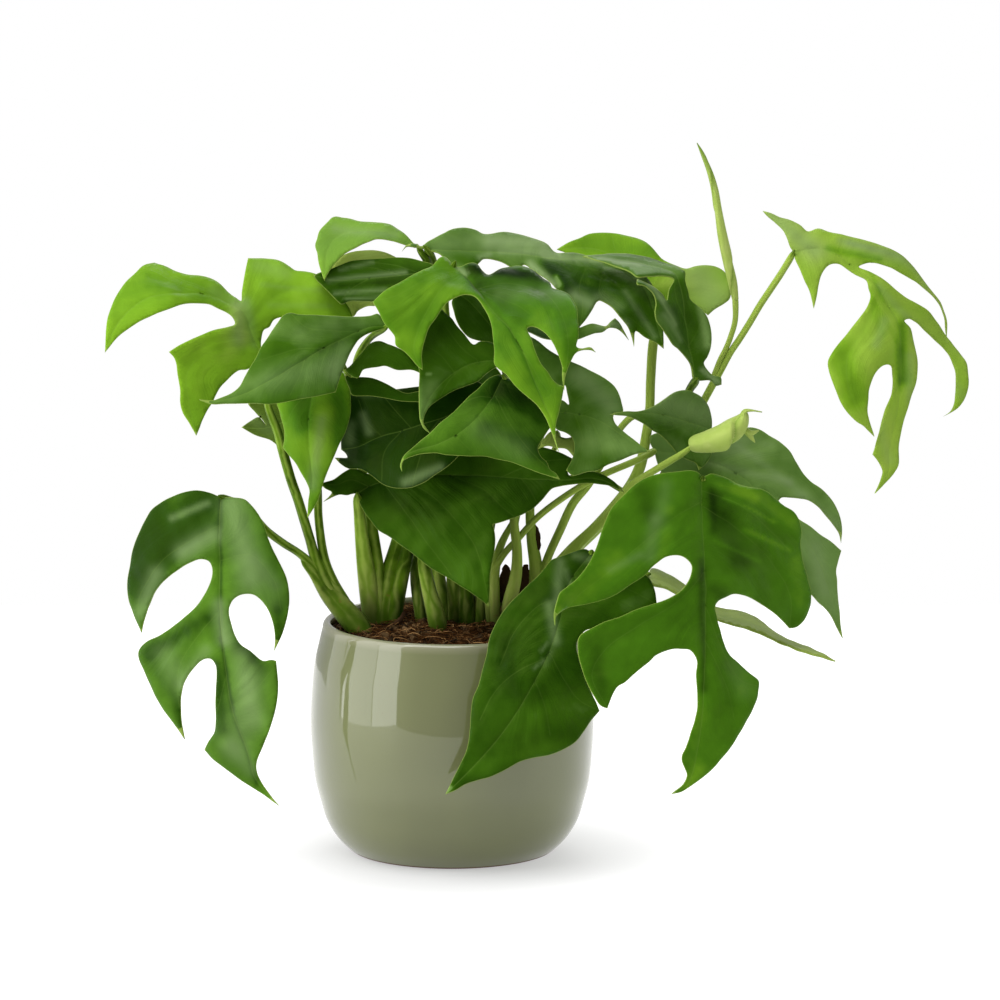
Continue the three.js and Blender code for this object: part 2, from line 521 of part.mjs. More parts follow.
// A thin plate bent through the depth points: y = a + b u + c v + sum of w_i r_i^2 ln r_i.
function bentSheet(controls) {
  const bend = (r2) => (r2 > 0 ? 0.5 * r2 * Math.log(r2) : 0);
  const reach = 200;
  const at = controls.map(([u, v]) => [u / reach, v / reach]);
  const rows = at.map(([u, v], i) => [
    ...at.map(([s, t]) => bend((u - s) ** 2 + (v - t) ** 2)), 1, u, v, controls[i][2],
  ]);
  const none = [0, 0, 0, 0];
  rows.push([...at.map(() => 1), ...none]);
  rows.push([...at.map(([u]) => u), ...none]);
  rows.push([...at.map(([, v]) => v), ...none]);
  const w = solved(rows);
  const [a, b, c] = w.slice(-3);
  return (u, v) => {
    const [s, t] = [u / reach, v / reach];
    return at.reduce((sum, [p, q], i) => sum + w[i] * bend((s - p) ** 2 + (t - q) ** 2), a + b * s + c * t);
  };
}

// ---- Solids ----

function geometryOf(positions, index) {
  const geometry = new THREE.BufferGeometry();
  geometry.setAttribute('position', new THREE.Float32BufferAttribute(positions, 3));
  geometry.setIndex(index);
  return geometry;
}

function solidOf(geometry) {
  return new wasm.Manifold(new wasm.Mesh({
    numProp: 3,
    vertProperties: new Float32Array(geometry.attributes.position.array),
    triVerts: new Uint32Array(geometry.index.array),
  }));
}

function geometryOfSolid(solid) {
  const mesh = solid.getMesh();
  return geometryOf(Array.from(mesh.vertProperties), Array.from(mesh.triVerts));
}

// The largest of the separate bodies of a solid.
function largestBody(solid) {
  return solid.decompose().reduce((best, body) => (body.volume() > best.volume() ? body : best));
}

// The ring of sheet points moved outwards by a few sheet units.
function grown(ring, units) {
  const turn = ring.reduce((sum, [u, v], i) => {
    const [s, t] = ring[(i + 1) % ring.length];
    return sum + u * t - s * v;
  }, 0);
  return ring.map(([u, v], i) => {
    const before = ring[(i + ring.length - 1) % ring.length];
    const after = ring[(i + 1) % ring.length];
    const along = new THREE.Vector2(after[0] - before[0], after[1] - before[1]).normalize();
    return [u + along.y * Math.sign(turn) * units, v - along.x * Math.sign(turn) * units];
  });
}

// A closed blade: its outline is split along the rib, and both faces share one set of triangles.
// With a margin it is that much larger all round.
function bladeGeometry({ outline, rib, depth }, margin = 0) {
  const edge = grown(listed(outline), margin / SHEET_UNIT);
  const thickness = BLADE_THICKNESS + 2 * margin;
  const points = edge.map((point) => [...point]);
  const nearest = ([u, v]) => edge.reduce((best, [s, t], i) => (
    Math.hypot(s - u, t - v) < Math.hypot(edge[best][0] - u, edge[best][1] - v) ? i : best), 0);
  const faces = [];
  const ribAt = new Set();
  const addHalf = (ring) => {
    const contour = ring.map((i) => new THREE.Vector2(points[i][0], -points[i][1]));
    for (const [a, b, c] of THREE.ShapeUtils.triangulateShape(contour, [])) {
      faces.push([ring[a], ring[b], ring[c]]);
    }
  };
  const around = (from, to) => {
    const ring = [];
    for (let i = from; i !== to; i = (i + 1) % edge.length) ring.push(i);
    return [...ring, to];
  };
  if (rib) {
    const line = listed(rib);
    const base = nearest(line[0]);
    const tip = nearest(line[line.length - 1]);
    const inner = line.slice(1, -1).map((point) => {
      ribAt.add(points.length);
      return points.push(point) - 1;
    });
    addHalf([...around(base, tip), ...[...inner].reverse()]);
    addHalf([...around(tip, base), ...inner]);
  } else {
    addHalf(edge.map((_, i) => i));
  }
  const bend = bentSheet(listed(depth));
  const middle = points.map(([u, v], i) => spot(u, v, bend(u, v) + (ribAt.has(i) ? BLADE_KEEL : 0)));
  const normals = middle.map(() => new THREE.Vector3());
  const oriented = faces.map((face) => {
    const [a, b, c] = face.map((i) => points[i]);
    const turn = (b[0] - a[0]) * (c[1] - a[1]) - (b[1] - a[1]) * (c[0] - a[0]);
    return turn < 0 ? face : [face[0], face[2], face[1]];
  });
  for (const [a, b, c] of oriented) {
    const normal = new THREE.Triangle(middle[a], middle[b], middle[c]).getNormal(new THREE.Vector3());
    for (const i of [a, b, c]) normals[i].add(normal);
  }
  const n = middle.length;
  const positions = [];
  for (const side of [0.5, -0.5]) {
    middle.forEach((point, i) => {
      positions.push(...point.clone().addScaledVector(normals[i].normalize(), side * thickness).toArray());
    });
  }
  const index = [];
  const rims = new Map();
  for (const [a, b, c] of oriented) {
    index.push(a, b, c, a + n, c + n, b + n);
    for (const [p, q] of [[a, b], [b, c], [c, a]]) {
      if (!rims.delete(`${q} ${p}`)) rims.set(`${p} ${q}`, [p, q]);
    }
  }
  for (const [p, q] of rims.values()) index.push(p, q + n, q, p, p + n, q + n);
  return geometryOf(positions, index);
}

// A closed tube through rings of points, with a cone at each end.
function loftGeometry(centres, ringOf, sides) {
  const positions = [];
  const index = [];
  centres.forEach((centre, i) => {
    const ahead = centres[Math.min(i + 1, centres.length - 1)];
    const behind = centres[Math.max(i - 1, 0)];
    const along = ahead.clone().sub(behind).normalize();
    const across = new THREE.Vector3(0, 1, 0).cross(along).normalize();
    const over = along.clone().cross(across);
    for (let s = 0; s < sides; s++) {
      const turn = (2 * Math.PI * s) / sides;
      const [a, b] = ringOf(i, turn);
      positions.push(...centre.clone().addScaledVector(across, a).addScaledVector(over, b).toArray());
    }
  });
  for (let i = 0; i + 1 < centres.length; i++) {
    for (let s = 0; s < sides; s++) {
      const next = (s + 1) % sides;
      const [a, b, c, d] = [i * sides + s, i * sides + next, (i + 1) * sides + s, (i + 1) * sides + next];
      index.push(a, b, c, b, d, c);
    }
  }
  const last = (centres.length - 1) * sides;
  const caps = positions.length / 3;
  positions.push(...centres[0].toArray(), ...centres[centres.length - 1].toArray());
  for (let s = 0; s < sides; s++) {
    const next = (s + 1) % sides;
    index.push(caps, next, s, caps + 1, last + s, last + next);
  }
  return geometryOf(positions, index);
}

// A stalk along "u,v,y,width" points, grown by a margin all round.
function stalkSolid(route, margin) {
  const points = listed(route);
  const centres = points.map(([u, v, y]) => spot(u, v, y));
  const radius = (i) => (points[i][3] * SHEET_UNIT) / 2 + margin;
  return solidOf(loftGeometry(centres, (i, turn) => [
    radius(i) * Math.cos(turn), radius(i) * Math.sin(turn)], STALK_SIDES));
}

function stalksSolid(routes, margin) {
  return Object.values(routes).map((route) => stalkSolid(route, margin)).reduce((all, one) => all.add(one));
}

// ---- Pieces ----

// The pot's outer side from its base to its rim: a swelling bowl that closes in a little at the top.
function potSide() {
  const widest = POT_DIAMETER / 2;
  const points = POT_ROUND.map(([r, z]) => new THREE.Vector2(r * widest, z * POT_HEIGHT));
  return new THREE.SplineCurve(points).getPoints(POT_SIDE_STEPS);
}

function lathed(profile) {
  const geometry = new THREE.LatheGeometry(profile, POT_SIDES);
  geometry.rotateX(Math.PI / 2);
  return geometry;
}

// Merges what a lathe leaves double: its seam and the points on its axis.
function mergedSolid(geometry) {
  const spots = new Map();
  const positions = [];
  const place = geometry.attributes.position;
  const seat = Array.from({ length: place.count }, (_, i) => {
    const point = [place.getX(i), place.getY(i), place.getZ(i)];
    const key = point.map((value) => Math.round(value * 1e3)).join(' ');
    if (!spots.has(key)) {
      spots.set(key, positions.length / 3);
      positions.push(...point);
    }
    return spots.get(key);
  });
  const index = [];
  for (let i = 0; i < geometry.index.count; i += 3) {
    const [a, b, c] = [0, 1, 2].map((k) => seat[geometry.index.getX(i + k)]);
    if (a !== b && b !== c && c !== a) index.push(a, b, c);
  }
  return solidOf(geometryOf(positions, index));
}

// The pot's inner side, from a little above its floor up to a height, drawn in by a gap.
function potInside(gap, height) {
  const side = potSide().filter((point) => point.y > 2 * POT_FLOOR);
  const above = side.findIndex((point) => point.y > height);
  if (above > 0) {
    const [low, high] = [side[above - 1], side[above]];
    side.splice(above, side.length, low.clone().lerp(high, (height - low.y) / (high.y - low.y)));
  }
  return side.map((point) => new THREE.Vector2(point.x - POT_WALL - gap, point.y));
}

function potSolid() {
  const outside = potSide();
  const top = outside[outside.length - 1];
  const inside = potInside(0, POT_HEIGHT);
  const rim = [
    new THREE.Vector2(top.x - POT_WALL * 0.13, POT_HEIGHT - POT_RIM_DROP),
    new THREE.Vector2(top.x - POT_WALL * 0.42, POT_HEIGHT),
    new THREE.Vector2(top.x - POT_WALL * 0.8, POT_HEIGHT - POT_RIM_DROP),
  ];
  const profile = [
    new THREE.Vector2(0, 0),
    new THREE.Vector2(POT_BASE_RADIUS, 0),
    ...outside,
    ...rim,
    ...inside.reverse(),
    new THREE.Vector2(POT_FLOOR_EDGE, POT_FLOOR),
    new THREE.Vector2(0, POT_FLOOR),
  ];
  return mergedSolid(lathed(profile));
}

// The soil fills the pot and rises a little in the middle, with a plain hole for each stalk.
function soilSolid(stalks) {
  const wall = potInside(TOUCHING_GAP, SOIL_EDGE_HEIGHT - 1);
  const edge = wall[wall.length - 1].x;
  const mound = [0.95, 0.7, 0.4, 0].map((share) => new THREE.Vector2(
    share * edge,
    SOIL_EDGE_HEIGHT + SOIL_MOUND * (1 - share ** 2),
  ));
  const profile = [
    new THREE.Vector2(0, POT_FLOOR + TOUCHING_GAP),
    new THREE.Vector2(POT_FLOOR_EDGE - TOUCHING_GAP, POT_FLOOR + TOUCHING_GAP),
    ...wall,
    ...mound,
  ];
  return mergedSolid(lathed(profile)).subtract(stalks);
}

// The stalks of one shoot, cut back a little where they meet the blades that they carry.
function shootGeometry(routes, blades) {
  return geometryOfSolid(largestBody(stalksSolid(routes, 0).subtract(blades)));
}

// A new leaf still rolled up: a tube along "u,v,y,width" points, flattened a little from front to back.
function rolledGeometry({ route, width, flatness }, margin = 0) {
  const points = listed(route);
  const widest = Math.max(...points.map((point) => point[3]));
  const centres = points.map(([u, v, y]) => spot(u, v, y));
  const lengthen = (end, next) => end.addScaledVector(end.clone().sub(next).normalize(), margin);
  lengthen(centres[0], centres[1]);
  lengthen(centres[centres.length - 1], centres[centres.length - 2]);
  return loftGeometry(centres, (i, turn) => {
    const radius = (width / 2) * (points[i][3] / widest) + margin;
    return [radius * Math.cos(turn), radius * flatness * Math.sin(turn)];
  }, ROLL_SIDES);
}

function meshOf(name, geometry, finish) {
  const mesh = new THREE.Mesh(geometry, new THREE.MeshStandardMaterial(FINISH[finish]));
  mesh.name = name;
  return mesh;
}

// ---- The whole plant ----

const plant = new THREE.Group();
plant.name = 'mini_monstera';

const roomRoundBlades = LEAVES
  .map((leaf) => solidOf(bladeGeometry(leaf, TOUCHING_GAP)))
  .concat(NEW_LEAVES.map((leaf) => solidOf(rolledGeometry(leaf, TOUCHING_GAP))))
  .reduce((all, one) => all.add(one));
const roomRoundStalks = Object.values(SHOOTS)
  .map((routes) => stalksSolid(routes, TOUCHING_GAP))
  .reduce((all, one) => all.add(one));

plant.add(meshOf('pot', geometryOfSolid(potSolid()), 'glaze'));
plant.add(meshOf('soil', geometryOfSolid(soilSolid(roomRoundStalks)), 'soil'));
for (const [name, routes] of Object.entries(SHOOTS)) {
  plant.add(meshOf(name, shootGeometry(routes, roomRoundBlades), 'stalk'));
}
for (const leaf of LEAVES) {
  plant.add(meshOf(leaf.name, bladeGeometry(leaf), leaf.finish));
}
for (const leaf of NEW_LEAVES) {
  plant.add(meshOf(leaf.name, rolledGeometry(leaf), 'young'));
}

export default plant;
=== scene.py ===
# %% [markdown]
# # A mini monstera in a glazed pot
#
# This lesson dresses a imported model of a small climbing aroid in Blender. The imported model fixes
# where each leaf, stalk and pot wall is. What follows gives them their real surfaces: creased
# blades with ribs and margins, smooth stalks, glaze, and loose coir soil.

# %% Frame
from math import pi, radians

import bpy
import numpy as np
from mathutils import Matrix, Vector
from mathutils.geometry import delaunay_2d_cdt


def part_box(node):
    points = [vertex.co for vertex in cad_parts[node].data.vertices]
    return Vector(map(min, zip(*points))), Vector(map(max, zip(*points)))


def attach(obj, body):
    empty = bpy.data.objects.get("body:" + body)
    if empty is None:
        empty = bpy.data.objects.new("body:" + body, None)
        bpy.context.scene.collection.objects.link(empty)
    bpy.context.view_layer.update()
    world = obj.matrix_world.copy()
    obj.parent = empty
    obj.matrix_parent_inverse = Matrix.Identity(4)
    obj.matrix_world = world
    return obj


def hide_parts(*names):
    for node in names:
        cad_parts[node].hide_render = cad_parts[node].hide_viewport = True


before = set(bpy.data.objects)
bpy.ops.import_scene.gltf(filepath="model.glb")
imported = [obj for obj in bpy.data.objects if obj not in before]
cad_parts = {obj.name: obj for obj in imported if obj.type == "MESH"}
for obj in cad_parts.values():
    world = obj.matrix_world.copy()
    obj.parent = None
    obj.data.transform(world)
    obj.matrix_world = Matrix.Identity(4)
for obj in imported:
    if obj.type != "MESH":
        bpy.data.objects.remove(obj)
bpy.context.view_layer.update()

MM = 0.001
print("packed nodes:", len(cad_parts))

# %% [markdown]
# ## The drawing sheet
#
# The leaves are drawn on an upright sheet, as a botanist draws a plant from the front. A point on
# the sheet runs right and down in units of half a millimetre, and a third number gives its depth.
# The sheet is seen from four metres off and a little above, so one function turns drawing points
# into points in space.

# %% Sheet to space
SHEET_UNIT = 0.5
SHEET_MIDDLE = 500
SHEET_TARGET_X, SHEET_TARGET_Z = 24.0, 177.5
SHEET_DISTANCE = 4000.0
SHEET_TILT = radians(10.5)
SIGHT_LINE = (np.cos(SHEET_TILT), np.sin(SHEET_TILT))


def in_space(u, v, y):
    """Sheet points (u, v) at depth y, in millimetres, as points in space.

    A line of sight leaves the eye for each sheet point. The point on it where Y equals y is the
    answer: its height is the sheet height, stretched with distance, less what the tilted line
    drops by y."""
    cos, sin = SIGHT_LINE
    right = (u - SHEET_MIDDLE) * SHEET_UNIT
    up = (SHEET_MIDDLE - v) * SHEET_UNIT
    rise = (up * (1 + y * cos / SHEET_DISTANCE) - y * sin) / (cos + up * sin / SHEET_DISTANCE)
    away = 1 + (y * cos - rise * sin) / SHEET_DISTANCE
    return np.stack([SHEET_TARGET_X + right * away, y, SHEET_TARGET_Z + rise], axis=-1)


def listed(text):
    """Turns "1,2 *3,4" into rows of numbers, and says which words had a star: sharp points."""
    words = text.split()
    rows = [[float(number) for number in word.lstrip("*").split(",")] for word in words]
    return np.array(rows), np.array([word.startswith("*") for word in words])


def read_drawings(text):
    """Drawings by name from text, with an empty line between them.

    Each starts with its name and settings. A line that starts with a word names a list of points,
    and the lines that start with a number go on with the same list."""
    drawings = {}
    for block in text.strip().split("\n\n"):
        heading, *lines = block.split("\n")
        name, *settings = heading.split()
        parts = {}
        for line in lines:
            word, _, rest = line.partition(" ")
            if word.isidentifier():
                part, parts[word] = word, rest
            else:
                parts[part] += " " + line
        drawings[name] = settings, parts
    return drawings


print("middle of the sheet:", in_space(SHEET_MIDDLE, SHEET_MIDDLE, 0.0), "mm")

# %% [markdown]
# ## The camera
#
# The camera stands where the sheet is seen from. It could be aimed by eye, but its place, its tilt
# and its lens follow from the sheet: the lens is the sensor's width times the distance over the
# sheet's width, so that the sheet just fills the picture.

# %% Camera
SENSOR_WIDTH = 36


def placed(name, data):
    """An object that shows a mesh, a lamp or a camera, linked to the scene."""
    made = bpy.data.objects.new(name, data)
    bpy.context.collection.objects.link(made)
    return made


eye = Vector((SHEET_TARGET_X, 0, SHEET_TARGET_Z)) * MM
eye += Vector((0, -SIGHT_LINE[0], SIGHT_LINE[1])) * SHEET_DISTANCE * MM
lens = bpy.data.cameras.new("camera")
lens.sensor_width = SENSOR_WIDTH
lens.lens = SENSOR_WIDTH * SHEET_DISTANCE / (2 * SHEET_MIDDLE * SHEET_UNIT)
camera = placed("camera", lens)
camera.location = eye
camera.rotation_euler = (pi / 2 - SHEET_TILT, 0, 0)
bpy.context.scene.camera = camera
print("lens:", round(lens.lens), "mm")

# %% [markdown]
# ## Shader maths as plain expressions
#
# A node tree is a formula drawn with wires. This small class wraps one socket, so that the formula
# can be written as one: each operator adds its Math node, and colours go through Mix nodes.

# %% Socket wrapper
class Wire:
    """One output socket, with the arithmetic that the finishes below use."""

    def __init__(self, tree, socket):
        self.tree = tree
        self.socket = socket

    def math(self, operation, *values):
        """A Math node on this value and others. A value is a number or another wire."""
        return self.tree.node("ShaderNodeMath", {"operation": operation}, (self, *values))

    def __add__(self, other):
        return self.math("ADD", other)

    def __sub__(self, other):
        return self.math("SUBTRACT", other)

    def __rsub__(self, other):
        return self.tree.node("ShaderNodeMath", {"operation": "SUBTRACT"}, (other, self))

    def __mul__(self, other):
        return self.math("MULTIPLY", other)

    __radd__ = __add__
    __rmul__ = __mul__

    def clear(self):
        """The value held between 0 and 1."""
        return self.math("MAXIMUM", 0.0).math("MINIMUM", 1.0)

    def below(self, edge, soft):
        """1 under edge, 0 over it, and a smooth ramp soft wide between them."""
        return ((edge - self) * (1 / soft) + 0.5).clear()

    def near(self, reach):
        """1 at zero, falling smoothly as e to the minus (value over reach) squared."""
        scaled = self * (1 / reach)
        return (scaled * scaled * -1.0).math("EXPONENT")

    def wave(self):
        """A sine wave between 0 and 1 that comes round once for each whole number."""
        return (self * (2 * pi)).math("SINE") * 0.5 + 0.5


# %% [markdown]
# A finish is a material under construction. Its methods each add the few nodes that one idea
# takes, such as noise of a size in metres, so that a finish below reads like a list of what is
# seen on the real thing.

# %% Material under construction
class Finish:
    """A material under construction: a Principled surface and the nodes that feed it."""

    def __init__(self, name, **surface):
        self.material = bpy.data.materials.new(name)
        self.material.use_nodes = True
        self.nodes = self.material.node_tree.nodes
        self.links = self.material.node_tree.links
        self.surface = self.nodes["Principled BSDF"]
        for socket, value in surface.items():
            self.surface.inputs[socket.replace("_", " ")].default_value = value

    def node(self, kind, settings=None, sockets=(), output=0):
        """Any node: its type, its settings, then the values or wires of its sockets."""
        made = self.nodes.new(kind)
        for key, value in (settings or {}).items():
            setattr(made, key, value)
        named = sockets.items() if isinstance(sockets, dict) else enumerate(sockets)
        for place, value in named:
            if isinstance(value, Wire):
                self.links.new(value.socket, made.inputs[place])
            else:
                made.inputs[place].default_value = value
        return Wire(self, made.outputs[output])

    def place(self):
        """The position on the piece, in metres."""
        return self.node("ShaderNodeTexCoord", output="Object")

    def attribute(self, name):
        """A number stored with each point of the piece."""
        return self.node("ShaderNodeAttribute", {"attribute_name": name}, output="Fac")

    def noise(self, size, detail=3.0, roughness=0.5, stretch=(1, 1, 1)):
        """Soft noise from 0 to 1 whose lumps are size metres across."""
        spread = self.node("ShaderNodeMapping", {}, {"Vector": self.place(), "Scale": stretch})
        sockets = {"Vector": spread, "Scale": 1 / size, "Detail": detail, "Roughness": roughness}
        return self.node("ShaderNodeTexNoise", {}, sockets, output="Fac")

    def blend(self, share, first, second):
        """The colour first where share is 0 and second where it is 1."""
        colours = {0: share, 6: first, 7: second}
        return self.node("ShaderNodeMix", {"data_type": "RGBA"}, colours, output=2)

    def feed(self, socket, wire):
        """Lets a wire drive one socket of the surface."""
        self.links.new(wire.socket, self.surface.inputs[socket])

    def bump(self, height, depth):
        """Relief: height from 0 to 1 stands depth metres high."""
        sockets = {"Strength": 1.0, "Distance": depth, "Height": height}
        self.feed("Normal", self.node("ShaderNodeBump", {}, sockets, output="Normal"))


def rgba(red, green, blue):
    """A linear colour with full alpha."""
    return (red, green, blue, 1.0)


# %% [markdown]
# ## Leaf finishes
#
# A leaf of this plant is leathery and glossy above, paler and duller below. Young leaves are
# yellow-green and old ones nearly bottle green. On every leaf the rib and the side veins lie in
# fine pale grooves, and faint parallel veins run between them. The thin margin catches the light,
# and this is painted as a pale line. Light and shade are painted on each leaf as well, with a
# greyer painted sheen where highlights fall. The blades carry the distances to rib, vein and
# margin as numbers, in millimetres, so the finish only has to read them. A painted picture would do
# the same, but a number stays sharp at any size.

# %% Leaf finish
LEAF_COLOURS = {
    "bright": [(0.051, 0.15, 0.006), (0.16, 0.325, 0.015), (0.3, 0.45, 0.055), (0.16, 0.26, 0.035)],
    "mid": [(0.014, 0.051, 0.002), (0.084, 0.202, 0.014), (0.24, 0.4, 0.09), (0.13, 0.22, 0.035)],
    "dark": [(0.007, 0.03, 0.001), (0.035, 0.1, 0.004), (0.2, 0.33, 0.09), (0.08, 0.14, 0.025)],
    "olive": [(0.07, 0.12, 0.012), (0.2, 0.28, 0.05), (0.32, 0.42, 0.08), (0.2, 0.27, 0.06)],
}
VEIN_COLOUR = rgba(0.2, 0.33, 0.06)
# Painted highlight: the pale line where the thin margin catches the light.
EDGE_HIGHLIGHT_COLOUR = rgba(0.34, 0.45, 0.09)
# Painted shade, which the darkest strokes reach.
SHADE_COLOUR = rgba(0.003, 0.014, 0.001)
# Painted sheen: a greyer green where the lamps' highlights fall on a leaf.
PAINTED_SHEEN_COLOUR = rgba(0.19, 0.28, 0.11)
LEAF_SPECULAR = rgba(0.7, 1.0, 0.1)
LEAF_CLOUDS, LEAF_MOTTLE, LEAF_RELIEF = 0.02, 0.0045, 0.0004
RIB_LINE, VEIN_LINE, VEIN_REACH, EDGE_HIGHLIGHT_LINE, EDGE_HIGHLIGHT_FADE = 0.3, 0.25, 3.5, 0.2, 0.25
LINE_STRENGTH, EDGE_HIGHLIGHT_STRENGTH, UNDER_STRENGTH = 0.16, 0.5, 0.85
STREAK_SCALE, STREAK_SLANT = 1.3, 0.04
LEAF_ROUGHNESS = 0.26


def leaf_finish(age):
    """The finish of leaves of one age.

    Colour: a share from 0 to 1 leads from the deep green to the light one, past 1 to a yellower
    lift and under 0 to painted shade. It adds the tone of the place, which carries painted light and
    shade, soft noise of two sizes, the distance from the veins and faint streaks beside them.
    Painted sheen greys the places where highlights fall. Pale lines lie where the distance to rib or
    vein is a fraction of a millimetre, and a painted highlight lies along the margin, where the thin
    edge catches the light. The under side is a fourth, duller green."""
    deep, light, lift, under = (rgba(*colour) for colour in LEAF_COLOURS[age])
    finish = Finish("leaf_" + age, IOR=1.45, Specular_IOR_Level=0.1, Specular_Tint=LEAF_SPECULAR)
    rib, vein, edge = (finish.attribute(name) for name in ("rib_gap", "vein_gap", "edge_gap"))
    below_side, tone = finish.attribute("under_side"), finish.attribute("tone")
    along = (finish.attribute("streak"), rib * STREAK_SLANT, 0.0)
    sockets = {"Vector": finish.node("ShaderNodeCombineXYZ", {}, along), "Scale": STREAK_SCALE}
    streak = finish.node("ShaderNodeTexNoise", {}, {**sockets, "Detail": 3.0})

    clouds = finish.noise(LEAF_CLOUDS, 2.0)
    mottle = finish.noise(LEAF_MOTTLE, 3.0)
    between = 1 - vein.near(VEIN_REACH)
    # The tone carries painted light and shade from the strokes: over 1 the share leads into the
    # yellower lift, under 0 into painted shade.
    share = tone + clouds * 0.9 + between * 0.15 + mottle * 0.25 + streak * 0.14 - 0.22
    colour = finish.blend(share.clear(), deep, light)
    colour = finish.blend(((share - 1.0) * 0.8).clear(), colour, lift)
    colour = finish.blend((share * -0.9).clear(), colour, SHADE_COLOUR)
    # Painted sheen, greying the places where highlights fall.
    colour = finish.blend(finish.attribute("bloom").clear(), colour, PAINTED_SHEEN_COLOUR)
    colour = finish.blend(vein.near(VEIN_LINE) * clouds * LINE_STRENGTH, colour, VEIN_COLOUR)
    colour = finish.blend(rib.near(RIB_LINE) * LINE_STRENGTH, colour, VEIN_COLOUR)
    colour = finish.blend(below_side * UNDER_STRENGTH, colour, under)
    # Painted highlight along the margin, where the thin edge catches the light.
    margin = edge.below(EDGE_HIGHLIGHT_LINE, EDGE_HIGHLIGHT_FADE) * EDGE_HIGHLIGHT_STRENGTH
    colour = finish.blend(margin, colour, EDGE_HIGHLIGHT_COLOUR)
    finish.feed("Base Color", colour)
    roughness = LEAF_ROUGHNESS + clouds * 0.16 + mottle * 0.1 + below_side * 0.25
    finish.feed("Roughness", roughness)
    finish.bump(streak * 0.6 + mottle * 0.4, LEAF_RELIEF)
    return finish.material


LEAF_FINISHES = {age: leaf_finish(age) for age in LEAF_COLOURS}
print("leaf finishes:", ", ".join(LEAF_FINISHES))

# %% [markdown]
# ## Smooth lines through a few points
#
# Leaf edges, ribs, veins, stalks and the pot's side are all curves drawn by a few points. A
# centripetal Catmull-Rom curve passes through every point and doesn't overshoot where the points
# are close, and at a sharp leaf tip it is allowed to turn a corner.

# %% Smooth line
def through(points, step, closed=False, sharp=None, axes=2):
    """A smooth line through points, sampled about every step, measured on the first few axes.

    Each span is a Hermite curve. Its direction at a point weighs the spans on both sides by the
    square roots of their lengths, and at a sharp point, or at an open end, the span keeps its own
    direction."""
    points = np.asarray(points, float)
    count = len(points)
    sharp = np.zeros(count, bool) if sharp is None else sharp
    start = np.arange(count if closed else count - 1)
    end = (start + 1) % count
    here, there = points[start], points[end]
    before, after = points[start - 1].copy(), points[(start + 2) % count].copy()
    from_corner, to_corner = sharp[start].copy(), sharp[end].copy()
    if not closed:
        from_corner[0] = to_corner[-1] = True
    before[from_corner] = 2 * here[from_corner] - there[from_corner]
    after[to_corner] = 2 * there[to_corner] - here[to_corner]

    def root(a, b):
        return np.sqrt(np.linalg.norm((b - a)[:, :axes], axis=1)).clip(1e-4)[:, None]

    first, span, last = root(before, here), root(here, there), root(there, after)
    chord = there - here
    leave = chord + span * ((here - before) / first - (there - before) / (first + span))
    arrive = chord + span * ((after - there) / last - (after - here) / (span + last))
    pieces = np.ceil(span[:, 0] ** 2 / step).clip(1).astype(int)
    which = np.repeat(np.arange(len(start)), pieces)
    s = (np.arange(len(which)) - np.repeat(np.cumsum(pieces) - pieces, pieces)) / pieces[which]
    s = s[:, None]
    line = here[which] * (2 * s**3 - 3 * s**2 + 1) + there[which] * (3 * s**2 - 2 * s**3)
    line += leave[which] * (s**3 - 2 * s**2 + s) + arrive[which] * (s**3 - s**2)
    return line if closed else np.vstack([line, points[-1:]])


def run_of(line):
    """The distance run along a line, from 0 at its first point."""
    return np.concatenate([[0], np.cumsum(np.linalg.norm(np.diff(line, axis=0), axis=1))])


def distance_to(places, line):
    """How far each place is from a line, and how far along it, from 0 to 1, it comes nearest.

    Each stretch of the line is a segment: the place's shadow on it, held between its ends, is the
    foot of the shortest way."""
    start, along = line[:-1], np.diff(line, axis=0)
    length = np.linalg.norm(along, axis=1).clip(1e-9)
    to = places[:, None, :] - start[None]
    share = ((to * along).sum(-1) / length**2).clip(0, 1)
    gaps = np.linalg.norm(to - share[..., None] * along, axis=-1)
    nearest = gaps.argmin(1)
    rows = np.arange(len(places))
    run = np.concatenate([[0], np.cumsum(length)])
    at = run[nearest] + share[rows, nearest] * length[nearest]
    return gaps[rows, nearest], at / run[-1]


def inside(places, ring):
    """Which places lie in a ring: a level ray from them crosses it an odd number of times."""
    (x, y), (ax, ay) = places.T[:, :, None], ring.T[:, None, :]
    bx, by = np.roll(ring, -1, axis=0).T[:, None, :]
    spans = (ay > y) != (by > y)
    height = np.where(by == ay, 1e-9, by - ay)
    return (spans & (x < (bx - ax) * (y - ay) / height + ax)).sum(1) % 2 == 1


def drawn_line(text, step, scale=SHEET_UNIT / 2):
    """A smooth line in space from points of sheet place, depth and width, with its radius."""
    rows = listed(text)[0]
    places = in_space(rows[:, 0], rows[:, 1], rows[:, 2])
    line = through(np.column_stack([places, rows[:, 3] * scale]), step, axes=3)
    return line[:, :3], line[:, 3]


ring = through([(1, 0), (0, 1), (-1, 0), (0, -1)], 0.1, closed=True)
print("ring through four points:", len(ring), "points")


# %% [markdown]
# ## Meshes and pieces
#
# Every surface below comes as arrays of points and faces. One function turns them into a mesh,
# stores the numbers that the finish reads, hangs the piece on the body it rides on and hides the
# imported node that it stands for.

